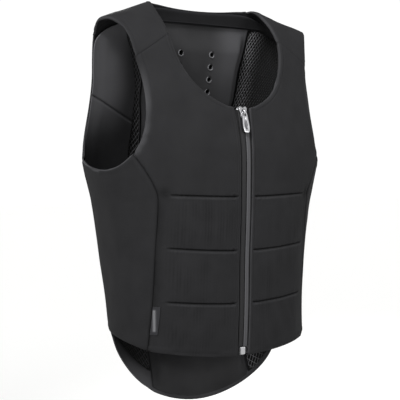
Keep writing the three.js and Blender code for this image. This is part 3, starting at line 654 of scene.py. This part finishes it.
# Facings: smooth strips inside the neck and the armholes; the right one has a seam across it
facingSettings = {
    "neckFacing": {"node": "neck_facing", "levels": 2, "flat": (0.240, 0.040), "area": 0.0041},
    "armFacingRight": {"node": "armhole_facing_right", "levels": 4, "flat": (0.090, 0.240), "area": 0.0172},
    "armFacingLeft": {"node": "armhole_facing_left", "levels": 2, "flat": (0.030, 0.220), "area": 0.0044},
}
facingShape = {
    "rim": 0.4 * mm,
    "fold": 0.7 * mm,
    "foldLength": 0.03,
    "calm": 12 * mm,
    "neckLight": {"share": 0.5, "wide": 2 * mm},
    "slices": 60,
    "sliceHalf": 5 * mm,
    "reach": 2.4 * mm,  # carries its edge out onto the back's turned edge
    "lift": 1.4 * mm,
    "edgeWide": 20 * mm,
    "seam": [(-0.169, -0.115), (-0.099, -0.150)],
    "seamDepth": 0.9 * mm,
    "seamWide": 1.3 * mm,
    "threadAndShade": {"shade": 0.7, "wide": 1.2 * mm},
    "ridge": {"share": 0.15, "below": 3 * mm, "wide": 1.2 * mm},
    "lightInward": (12 * mm, 66 * mm),
    "lightHeights": (-0.21, -0.10),
}
armFacingCloth = softshell("facingTricot", "#161617", "#48484a", 0.8 * mm, 0.1)
neckFacingCloth = softshell("neckTricot", "#141415", "#262628", 0.8 * mm, 0.1)


# An arm facing: sewn on at the armhole, with painted light that is strongest at the armhole and fades inward
# and towards its foot
def shapeArmFacing(piece, points, ways, settings):
    wide = np.abs(points[:, 0])
    levels = np.linspace(points[:, 2].min(), points[:, 2].max(), settings["slices"])
    edge = [wide[np.abs(points[:, 2] - level) < settings["sliceHalf"]].max() for level in levels]
    inward = np.interp(points[:, 2], levels, edge) - wide
    near = 1 - smoothStep(inward, 0, settings["edgeWide"])
    moved = points + ways * (settings["lift"] * near)[:, None]
    moved[:, 0] += np.sign(points[:, 0]) * settings["reach"] * near
    (x0, z0), (x1, z1) = settings["seam"]
    length = math.hypot(x1 - x0, z1 - z0)
    below = ((points[:, 2] - z0) * (x1 - x0) - (points[:, 0] - x0) * (z1 - z0)) / length
    moved += ways * (settings["seamDepth"] * bell(below, settings["seamWide"]))[:, None]
    setPoints(piece, moved)
    lightened = 1 - smoothStep(inward, *settings["lightInward"])
    lightened *= smoothStep(points[:, 2], *settings["lightHeights"])
    ridge, threadAndShade = settings["ridge"], settings["threadAndShade"]
    # painted highlight on the ridge below the seam
    setAttribute(piece, "lighten", lightened + ridge["share"] * bell(below + ridge["below"], ridge["wide"]))
    # black thread with painted shade in the seam
    setAttribute(piece, "sunk", threadAndShade["shade"] * bell(below, threadAndShade["wide"]))


for name, settings in facingSettings.items():
    panel = clothCopy(settings["node"], name, facingShape["rim"], settings["levels"])
    piece = panel["piece"]
    points = pointsOf(piece)
    ways = outwardAt(panel, points)
    toEdge, _ = distanceTo(points, points[panel["rim"]])
    fold = facingShape["fold"] * ripple(points, facingShape["foldLength"], 9)
    points += ways * (smoothStep(toEdge, 0, facingShape["calm"]) * fold)[:, None]
    layUv(piece, np.arctan2(points[:, 0], points[:, 1]) * chestRadius, points[:, 2])
    if name == "neckFacing":
        setPoints(piece, points)
        # painted highlight along the neck facing's edges
        lighten = facingShape["neckLight"]
        setAttribute(piece, "lighten", lighten["share"] * (1 - smoothStep(toEdge, 0, lighten["wide"])))
    else:
        shapeArmFacing(piece, points, ways, facingShape)
    cloth = neckFacingCloth if name == "neckFacing" else armFacingCloth
    finishPiece(piece, "vest", "softshell", cloth, settings["node"])
    print("facing", name)


# Foam cover: thin nylon tricot stretched over foam, its knit drawn coarse so that it shows, smoother and a
# little shinier than the shell, and paler where painted light is laid on it
def foamCover(name, colour, lightened):
    material = newMaterial(name)
    place = addNode(material, "ShaderNodeTexCoord")
    grain = addNode(material, "ShaderNodeTexNoise", None, {"Scale": spotScale(1.111 * mm), "Detail": 3.0},
                    {"Vector": place.outputs["Object"]})
    cloud = addNode(material, "ShaderNodeTexNoise", None, {"Scale": spotScale(45.45 * mm), "Detail": 3.0},
                    {"Vector": place.outputs["Object"]})
    shade = addNode(material, "ShaderNodeValToRGB", None, None, {"Fac": cloud.outputs["Fac"]})
    for element, position, factor in zip(shade.color_ramp.elements, (0.3, 0.7), (0.82, 1.18)):
        element.position = position
        element.color = [channel * factor for channel in linear(colour)[:3]] + [1]
    lighten = addNode(material, "ShaderNodeAttribute", {"attribute_name": "lighten"})
    toned = addNode(material, "ShaderNodeMix", {"data_type": "RGBA"}, {"B": linear(lightened)},
                   {"Factor": lighten.outputs["Fac"], "A": shade.outputs["Color"]})
    rough = addNode(material, "ShaderNodeMapRange", None, {"To Min": 0.58, "To Max": 0.75},
                    {"Value": grain.outputs["Fac"]})
    bump = addNode(material, "ShaderNodeBump", None, {"Strength": 0.18, "Distance": 0.0003},
                   {"Height": grain.outputs["Fac"]})
    shader = addNode(material, "ShaderNodeBsdfPrincipled", None, {"IOR": 1.5, "Specular IOR Level": 0.07},
                     {"Base Color": toned.outputs["Result"], "Roughness": rough.outputs["Result"],
                      "Normal": bump.outputs["Normal"]})
    addNode(material, "ShaderNodeOutputMaterial", None, None, {"Surface": shader.outputs["BSDF"]})
    return material


def surfaceTree(piece):
    return BVHTree.FromPolygons([v.co for v in piece.data.vertices],
                                [face.vertices for face in piece.data.polygons])


def backSurface(settings):
    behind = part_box("back_panel")[1].y + 50 * mm
    tree = surfaceTree(shellPanels["backPanel"]["piece"])
    across = np.linspace(-1, 1, settings["columns"] + 1)
    along = np.linspace(0, 1, settings["rows"] + 1)
    heights, halves = np.array(settings["edge"]).T * mm
    places = np.zeros((len(along), len(across), 3))
    tail = settings["tail"]
    lowest = tail["hem"] - tail["drop"] + tail["inset"]
    for i, share in enumerate(along):
        half = np.interp(lowest + (settings["top"] - lowest) * share, heights, halves)
        reach = 1 - np.abs(across * half / tail["half"]) ** tail["round"]
        bottom = tail["hem"] - tail["drop"] * reach ** (1 / tail["round"]) + tail["inset"]
        for j, u in enumerate(across):
            z = bottom[j] + (settings["top"] - bottom[j]) * share
            start = Vector((u * half, behind, z))
            hit = tree.ray_cast(start, Vector((0, -1, 0)))[0]
            places[i, j] = hit or tree.find_nearest(start)[0]
    for _ in range(settings["evenPasses"]):
        places[1:-1, :, 1] = (places[:-2, :, 1] + 2 * places[1:-1, :, 1] + places[2:, :, 1]) / 4
        places[:, 1:-1, 1] = (places[:, :-2, 1] + 2 * places[:, 1:-1, 1] + places[:, 2:, 1]) / 4
    upward = np.gradient(places, axis=0)
    sideways = np.gradient(places, axis=1)
    ways = np.cross(upward, sideways)
    ways /= np.linalg.norm(ways, axis=2)[:, :, None]
    ways *= np.sign(ways[:, :, 1])[:, :, None]
    return across, along, places, ways


def buildProtector(settings):
    across, along, places, ways = backSurface(settings)
    bpy.ops.object.select_all(action="DESELECT")
    bpy.ops.mesh.primitive_grid_add(x_subdivisions=settings["columns"], y_subdivisions=settings["rows"],
                                    size=2)
    plate = bpy.context.object
    plate.name = "backProtector"
    editAll()
    bpy.ops.mesh.extrude_region_move(TRANSFORM_OT_translate={"value": (0, 0, 1)})
    bpy.ops.object.mode_set(mode="OBJECT")
    flat = pointsOf(plate)
    column = np.rint((flat[:, 0] + 1) / 2 * settings["columns"]).astype(int)
    row = np.rint((flat[:, 1] + 1) / 2 * settings["rows"]).astype(int)
    middle = 1 - smoothStep(np.abs(across[column]), *settings["sideTaper"])
    ends = fadeInOut(along[row], settings["endTaper"])
    inner = settings["rim"] + (settings["inner"] - settings["rim"]) * middle * ends
    depth = np.where(flat[:, 2] > 0.5, inner, settings["outer"])
    setPoints(plate, places[row, column] - ways[row, column] * depth[:, None])
    editAll()
    bpy.ops.mesh.normals_make_consistent(inside=False)
    bpy.ops.object.mode_set(mode="OBJECT")
    roundEdges(plate, settings["softEdge"], 50)
    return plate


def ventPlaces(plate, vent):
    tree = surfaceTree(plate)
    inFront = -0.3
    found = []
    for row in range(vent["rows"]):
        for side in (-1, 1):
            start = Vector((side * vent["column"], inFront, vent["first"] - row * vent["pitch"]))
            place, way, _, _ = tree.ray_cast(start, Vector((0, 1, 0)))
            found.append((place, way))
    return found


def joinPieces(pieces, name):
    bpy.ops.object.select_all(action="DESELECT")
    for piece in pieces:
        piece.select_set(True)
    bpy.context.view_layer.objects.active = pieces[0]
    bpy.ops.object.join()
    joined = bpy.context.object
    joined.name = name
    bpy.ops.object.transform_apply(location=True, rotation=True, scale=True)
    return joined


plate = buildProtector(protectorSettings)
vent = protectorSettings["vent"]
ring = protectorSettings["rimRing"]
vents = ventPlaces(plate, vent)
drills = []
rings = []
for place, way in vents:
    turn = way.to_track_quat("Z", "Y").to_euler()
    bpy.ops.mesh.primitive_cylinder_add(vertices=vent["sides"], radius=vent["radius"], depth=vent["drill"],
                                        location=place, rotation=turn)
    drills.append(bpy.context.object)
    bpy.ops.mesh.primitive_torus_add(major_radius=ring["radius"], minor_radius=ring["thick"],
                                     major_segments=24, minor_segments=8, location=place, rotation=turn)
    lip = bpy.context.object
    bpy.ops.object.transform_apply(location=True, rotation=True)
    points = pointsOf(lip)
    aside = (points - np.array(place)) @ ring["lean"] / ring["radius"]  # one side stands prouder
    setPoints(lip, points + np.outer(aside * ring["proud"] - ring["sunk"], way))
    rings.append(lip)
drill = joinPieces(drills, "ventDrill")
applyModifier(plate, "BOOLEAN", operation="DIFFERENCE", object=drill, solver="EXACT")
bpy.data.objects.remove(drill)
foamCloth = foamCover("foamTricot", "#202021", "#3c3c3e")
points = pointsOf(plate)
# painted light: the plate's upper side edge on the wearer's left is drawn lighter
paintedPlateLight = protectorSettings["paintedPlateLight"]
lightened = smoothStep(besidePlate(points), *paintedPlateLight["beside"]) * smoothStep(points[:, 2], *paintedPlateLight["heights"])
setAttribute(plate, "lighten", paintedPlateLight["share"] * lightened * smoothStep(points[:, 0], *paintedPlateLight["across"]))
finishPiece(plate, "vest", "foam", foamCloth, "back_protector")
ventRims = joinPieces(rings, "ventRims")
finishPiece(ventRims, "vest", "foam", foamCover("ventEyelet", "#4c4c4e", "#4c4c4e"))
print("back protector with", len(vents), "vents")

# Net lining: open knitted mesh over a thin black backing that stands for the dark cloth and painted shade
# behind the holes, with painted light on its strands where it is drawn over the plate, stronger on the
# wearer's left
liningSettings = {
    "netRight": {"node": "mesh_lining_right", "flat": (0.160, 0.500), "area": 0.0375, "toned": 0.25},
    "netLeft": {"node": "mesh_lining_left", "flat": (0.160, 0.500), "area": 0.0385, "toned": 1.0},
}
netShape = {"rim": 0.3 * mm, "levels": 2, "strand": 1.1 * mm, "knot": 0.8 * mm,
            "paintedLightBeside": (4 * mm, 34 * mm)}


# Knitted polyester net: black filament drawn coarse, slightly shiny, so single strands catch the light
def knittedNet(name, colour, lit, gloss):
    material = newMaterial(name)
    place = addNode(material, "ShaderNodeTexCoord")
    fibre = addNode(material, "ShaderNodeTexNoise", None, {"Scale": spotScale(0.7143 * mm), "Detail": 2.0},
                    {"Vector": place.outputs["Object"]})
    rough = addNode(material, "ShaderNodeMapRange", None, {"To Min": gloss, "To Max": gloss + 0.2},
                    {"Value": fibre.outputs["Fac"]})
    bump = addNode(material, "ShaderNodeBump", None, {"Strength": 0.2, "Distance": 0.0002},
                   {"Height": fibre.outputs["Fac"]})
    # painted light: the strands are mixed towards the lighter colour
    lighten = addNode(material, "ShaderNodeAttribute", {"attribute_name": "lighten"})
    tint = addNode(material, "ShaderNodeMix", {"data_type": "RGBA"}, {"A": linear(colour), "B": linear(lit)},
                   {"Factor": lighten.outputs["Fac"]})
    shader = addNode(material, "ShaderNodeBsdfPrincipled", None, {"IOR": 1.5, "Specular IOR Level": 0.15},
                     {"Base Color": tint.outputs["Result"], "Roughness": rough.outputs["Result"],
                      "Normal": bump.outputs["Normal"]})
    addNode(material, "ShaderNodeOutputMaterial", None, None, {"Surface": shader.outputs["BSDF"]})
    return material


# The net is the lining's inner face cut into diamonds, and each side of a diamond is a strand
def netStrands(nodeName, name, settings):
    net = quadCopy(nodeName, name)
    mesh = net.data
    _, _, broad, outward = facesOf(net)
    for face, kept in zip(mesh.polygons, broad & ~outward):
        face.select = not kept
    bpy.ops.object.mode_set(mode="EDIT")
    bpy.ops.mesh.select_mode(type="FACE")
    bpy.ops.mesh.delete(type="FACE")
    bpy.ops.object.mode_set(mode="OBJECT")
    for edge in mesh.edges:
        start, end = (mesh.vertices[number].co for number in edge.vertices)
        edge.select = bool(abs(end.z - start.z) < 0.5 * (end - start).length)  # those that run across
    bpy.ops.object.mode_set(mode="EDIT")
    bpy.ops.mesh.select_mode(type="EDGE")
    bpy.ops.mesh.subdivide(number_cuts=1)  # twice as many strands across as down
    bpy.ops.object.mode_set(mode="OBJECT")
    applyModifier(net, "SUBSURF", levels=settings["levels"], render_levels=settings["levels"])
    applyModifier(net, "DECIMATE", decimate_type="UNSUBDIV", iterations=1)
    applyModifier(net, "BEVEL", affect="VERTICES", width=settings["knot"], segments=1, limit_method="NONE")
    applyModifier(net, "WIREFRAME", thickness=settings["strand"], use_even_offset=False, use_replace=True)
    return net


# the near black backing is partly painted shade: it stands for the dark cloth behind the net and the shade in
# its holes
netBacking = knittedNet("netBacking", "#040404", "#040404", 0.8)
netYarn = knittedNet("netYarn", "#101011", "#545456", 0.5)
for name, settings in liningSettings.items():
    backing = clothCopy(settings["node"], name, netShape["rim"], netShape["levels"])
    strands = netStrands(settings["node"], name + "Strands", netShape)
    # painted light on the strands beside and over the plate
    drawn = 1 - smoothStep(besidePlate(pointsOf(strands)), *netShape["paintedLightBeside"])
    setAttribute(strands, "lighten", settings["toned"] * drawn)
    finishPiece(backing["piece"], "vest", "net_lining", netBacking, settings["node"])
    finishPiece(strands, "vest", "net_lining", netYarn)
    print("net", name, len(strands.data.polygons), "faces")


# Zip: two tape halves that meet in a dark line, with the cast slider, its pull and the box at the foot
tapeSettings = {
    "half": 10 * mm,
    # painted light: near black outer bands as shadow beside the plackets, a near black line where the halves
    # meet, the half on the wearer's right darker as shade and the half on the wearer's left lighter as light
    "bands": [(-10.0, "#070708"), (-7.3, "#161617"), (-0.5, "#050505"), (0.5, "#363638"), (7.3, "#070708")],
    "twill": 1.3 * mm,
    "cord": 3.2 * mm,
    "rim": 0.15 * mm,
    "levels": 1,
    "flat": (0.0188, 0.335),
}


# Woven polyester tape: twill drawn coarse so that it shows, with cords along it, a little shinier than the
# cloth, with painted light in its colour bands: painted shadow at the outer edges and in the middle line, and
# one half painted lighter as if lit
def zipTapeCloth(name, settings):
    material = newMaterial(name)
    place = addNode(material, "ShaderNodeTexCoord")
    parts = addNode(material, "ShaderNodeSeparateXYZ", None, None, {"Vector": place.outputs["UV"]})
    across = addNode(material, "ShaderNodeMapRange", None,
                     {"From Min": -settings["half"], "From Max": settings["half"]},
                     {"Value": parts.outputs["X"]})
    bands = addNode(material, "ShaderNodeValToRGB", None, None, {"Fac": across.outputs["Result"]})
    ramp = bands.color_ramp
    ramp.interpolation = "CONSTANT"
    while len(ramp.elements) < len(settings["bands"]):
        ramp.elements.new(0.5)
    for element, (start, colour) in zip(ramp.elements, settings["bands"]):
        element.position = (start * mm + settings["half"]) / (2 * settings["half"])
        element.color = linear(colour)
    twill = addNode(material, "ShaderNodeTexWave", {"bands_direction": "DIAGONAL"},
                    {"Scale": bandScale(settings["twill"]), "Distortion": 0.3},
                    {"Vector": place.outputs["UV"]})
    cords = addNode(material, "ShaderNodeTexWave", {"bands_direction": "X"},
                    {"Scale": bandScale(settings["cord"])}, {"Vector": place.outputs["UV"]})
    yarn = addNode(material, "ShaderNodeMath", {"operation": "MULTIPLY_ADD"}, {1: 0.4},
                   {0: twill.outputs["Fac"], 2: cords.outputs["Fac"]})
    shade = addNode(material, "ShaderNodeMapRange", None, {"From Max": 1.4, "To Min": 0.7, "To Max": 1.2},
                    {"Value": yarn.outputs["Value"]})
    tint = addNode(material, "ShaderNodeVectorMath", {"operation": "SCALE"}, None,
                   {0: bands.outputs["Color"], "Scale": shade.outputs["Result"]})
    bump = addNode(material, "ShaderNodeBump", None, {"Strength": 0.3, "Distance": 0.0003},
                   {"Height": yarn.outputs["Value"]})
    shader = addNode(material, "ShaderNodeBsdfPrincipled", None,
                     {"Roughness": 0.55, "IOR": 1.5, "Specular IOR Level": 0.15},
                     {"Base Color": tint.outputs["Vector"], "Normal": bump.outputs["Normal"]})
    addNode(material, "ShaderNodeOutputMaterial", None, None, {"Surface": shader.outputs["BSDF"]})
    return material


tapeCloth = zipTapeCloth("zipTapeWeave", tapeSettings)
for name, node in (("zipTapeRight", "zip_tape_right"), ("zipTapeLeft", "zip_tape_left")):
    tape = clothCopy(node, name, tapeSettings["rim"], tapeSettings["levels"])["piece"]
    points = pointsOf(tape)
    layUv(tape, points[:, 0], points[:, 2])
    finishPiece(tape, "vest", "zip_tape", tapeCloth, node)


# Nickel plated zinc: satin cast metal, bright on its edges, with fine handling marks; darker copies of it
# give painted shade in the pull's dish and eye slot
def nickelZinc(name, colour, smooth):
    material = newMaterial(name)
    place = addNode(material, "ShaderNodeTexCoord")
    marks = addNode(material, "ShaderNodeTexNoise", None, {"Scale": spotScale(1.667 * mm), "Detail": 5.0},
                    {"Vector": place.outputs["Object"]})
    rough = addNode(material, "ShaderNodeMapRange", None, {"To Min": smooth, "To Max": smooth + 0.16},
                    {"Value": marks.outputs["Fac"]})
    bump = addNode(material, "ShaderNodeBump", None, {"Strength": 0.06, "Distance": 0.0002},
                   {"Height": marks.outputs["Fac"]})
    shader = addNode(material, "ShaderNodeBsdfPrincipled", None,
                     {"Base Color": linear(colour), "Metallic": 1.0},
                     {"Roughness": rough.outputs["Result"], "Normal": bump.outputs["Normal"]})
    addNode(material, "ShaderNodeOutputMaterial", None, None, {"Surface": shader.outputs["BSDF"]})
    return material


zipMetal = nickelZinc("nickelPlatedZinc", "#a2a2a4", 0.24)
# darker copies of the nickel: painted shade in the pull's dish and in its eye slot
dishShadeMetal = nickelZinc("nickelDishPaintedShade", "#5f5f61", 0.34)
slotShadeMetal = nickelZinc("nickelSlotPaintedShade", "#1c1c1d", 0.45)

# slider and pull are drawn in the slider's own frame, in millimetres: x across, y into the vest, z up the zip
sliderLean = -15.473
sliderPlace = Matrix.Translation((0, -0.107395, -0.146)) @ Matrix.Rotation(math.radians(sliderLean), 4, "X")
sliderSettings = {
    "halfOutline": [(0, -8.6), (3.2, -8.6), (4.3, -8.0), (4.7, -6.4), (4.7, -0.6), (6.1, 3.2), (6.4, 5.4),
                    (6.1, 7.4), (5.0, 8.6), (3.4, 8.6), (2.0, 7.9), (0.9, 6.9), (0, 6.5)],
    "front": (-1.4, 0.4),
    "rear": (4.2, 5.8),
    "post": {"half": (1.6, 3.0, 0.9), "middle": (0, 2.2, 4.2), "softEdge": 0.3 * mm},
    "bridge": {"ring": 4.05, "bar": 0.95, "wide": 1.6, "foot": -1.3, "sink": 0.6},
    "softEdge": 0.45 * mm,
}
pullSettings = {
    "top": 1.0,
    "bottom": -30.0,
    "widths": [(-30, 5.45), (-24, 5.45), (-10, 4.5), (1, 4.4)],
    "points": 56,
    "endRound": 0.8,
    "sideRound": 0.45,
    "front": -3.9,
    "rear": -1.9,
    "eye": {"half": (2.4, 4.0, 2.5), "middle": (0, -2.9, -3.6), "softEdge": 0.8 * mm},
    "dish": {"half": (3.1, 0.85, 7.6), "middle": (0, -4.05, -18.4), "foot": 1.12, "narrows": 0.45},
    "softEdge": 0.5 * mm,
}


def plateFromOutline(name, outline, front, rear):
    bpy.ops.object.select_all(action="DESELECT")
    bpy.ops.mesh.primitive_circle_add(vertices=len(outline), radius=1, fill_type="NGON")
    plate = bpy.context.object
    plate.name = name
    setPoints(plate, np.array([(x, rear, z) for x, z in outline]) * mm)
    editAll()
    bpy.ops.mesh.extrude_region_move(TRANSFORM_OT_translate={"value": (0, (front - rear) * mm, 0)})
    bpy.ops.mesh.select_all(action="SELECT")
    bpy.ops.mesh.normals_make_consistent(inside=False)
    bpy.ops.object.mode_set(mode="OBJECT")
    return plate


def roundedBlock(name, shape):
    bpy.ops.object.select_all(action="DESELECT")
    bpy.ops.mesh.primitive_cube_add(size=2, location=[c * mm for c in shape["middle"]],
                                    scale=[h * mm for h in shape["half"]])
    block = bpy.context.object
    block.name = name
    bpy.ops.object.transform_apply(location=True, scale=True)
    applyModifier(block, "BEVEL", width=shape["softEdge"], segments=3)
    return block


def buildSlider(settings):
    right = settings["halfOutline"]
    outline = right + [(-x, z) for x, z in reversed(right[1:-1])]
    front = plateFromOutline("sliderFront", outline, *settings["front"])
    rear = plateFromOutline("sliderRear", outline, *settings["rear"])
    post = roundedBlock("sliderPost", settings["post"])
    bridge = settings["bridge"]
    bpy.ops.mesh.primitive_torus_add(major_radius=bridge["ring"] * mm, minor_radius=bridge["bar"] * mm,
                                     major_segments=36, minor_segments=12, rotation=(0, math.pi / 2, 0),
                                     location=(0, bridge["foot"] * mm, 0))
    arch = bpy.context.object
    bpy.ops.object.transform_apply(location=True, rotation=True)
    points = pointsOf(arch)
    points[:, 0] *= bridge["wide"]
    feet = (bridge["foot"] + bridge["sink"]) * mm  # they sink into the front plate
    points[:, 1] = np.minimum(points[:, 1], feet)
    setPoints(arch, points)
    for plate in (front, rear):
        roundEdges(plate, settings["softEdge"], 40)
    return joinPieces([front, rear, post, arch], "zipSlider")


def buildPull(settings):
    turns = np.linspace(0, 2 * math.pi, settings["points"], endpoint=False)
    half = (settings["top"] - settings["bottom"]) / 2
    rise = np.sign(np.sin(turns)) * np.abs(np.sin(turns)) ** settings["endRound"] * half
    reach = np.sign(np.cos(turns)) * np.abs(np.cos(turns)) ** settings["sideRound"]
    heights, widths = np.array(settings["widths"]).T
    z = settings["top"] - half + rise
    x = reach * np.interp(z, heights, widths)
    pull = plateFromOutline("zipPull", list(zip(x, z)), settings["front"], settings["rear"])
    pull.data.materials.append(zipMetal)
    eye = roundedBlock("pullEye", settings["eye"])
    eye.data.materials.append(slotShadeMetal)
    dish = settings["dish"]
    bpy.ops.mesh.primitive_uv_sphere_add(segments=32, ring_count=20,
                                         location=[c * mm for c in dish["middle"]],
                                         scale=[h * mm for h in dish["half"]])
    hollow = bpy.context.object
    bpy.ops.object.transform_apply(location=True, scale=True)
    points = pointsOf(hollow)
    low = (dish["middle"][2] - dish["half"][2]) * mm
    up = (points[:, 2] - low) / (2 * dish["half"][2] * mm)
    points[:, 0] *= dish["foot"] - dish["narrows"] * up
    setPoints(hollow, points)
    hollow.data.materials.append(dishShadeMetal)
    for cutter in (eye, hollow):
        applyModifier(pull, "BOOLEAN", operation="DIFFERENCE", object=cutter, solver="EXACT",
                      material_mode="TRANSFER")
        bpy.data.objects.remove(cutter)
    roundEdges(pull, settings["softEdge"], 50)
    return pull


sharpAngle = math.radians(35)
boxEdge = 0.5 * mm


def finishMetal(piece, body, node):
    piece.data.transform(sliderPlace)
    selectOnly(piece)
    bpy.ops.object.shade_smooth_by_angle(angle=sharpAngle)
    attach(piece, body)
    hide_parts(node)


slider = buildSlider(sliderSettings)
slider.data.materials.clear()
slider.data.materials.append(zipMetal)
finishMetal(slider, "vest", "zip_slider")
finishMetal(buildPull(pullSettings), "pull", "zip_pull")
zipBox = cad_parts["zip_box"]
for metalSlot in zipBox.material_slots:
    metalSlot.material = zipMetal
weld = zipBox.modifiers.new("weld", "WELD")
weld.merge_threshold = clothSettings["merge"]
softEdges = zipBox.modifiers.new("softEdges", "BEVEL")
softEdges.width = boxEdge
softEdges.segments = 3
softEdges.limit_method = "ANGLE"
softEdges.angle_limit = sharpAngle
print("zip ready")

# Woven satin label: dark grey with a lighter stripe down its length
labelSettings = {
    "rim": 0.15 * mm,
    "levels": 3,
    "stripeAt": 0.42,
    "stripeWide": 0.13,
    "stripeEnds": (0.10, 0.13, 0.87, 0.90),
    "flat": (0.012, 0.039),
    "area": 0.00046,
}
labelPiece = clothCopy("side_label", "sideLabel", labelSettings["rim"], labelSettings["levels"])["piece"]
points = pointsOf(labelPiece)
across = np.arctan2(points[:, 0], -points[:, 1]) * chestRadius
shareAcross = (across - across.min()) / (across.max() - across.min())
shareUp = (points[:, 2] - points[:, 2].min()) / np.ptp(points[:, 2])
stripe = bell(shareAcross - labelSettings["stripeAt"], labelSettings["stripeWide"])
setAttribute(labelPiece, "lighten", stripe * fadeInOut(shareUp, labelSettings["stripeEnds"]))
layUv(labelPiece, across, points[:, 2])
labelCloth = softshell("labelSatin", "#242426", "#58585a", 0.7 * mm, 0.1)
finishPiece(labelPiece, "vest", "label", labelCloth, "side_label")
print("label ready")
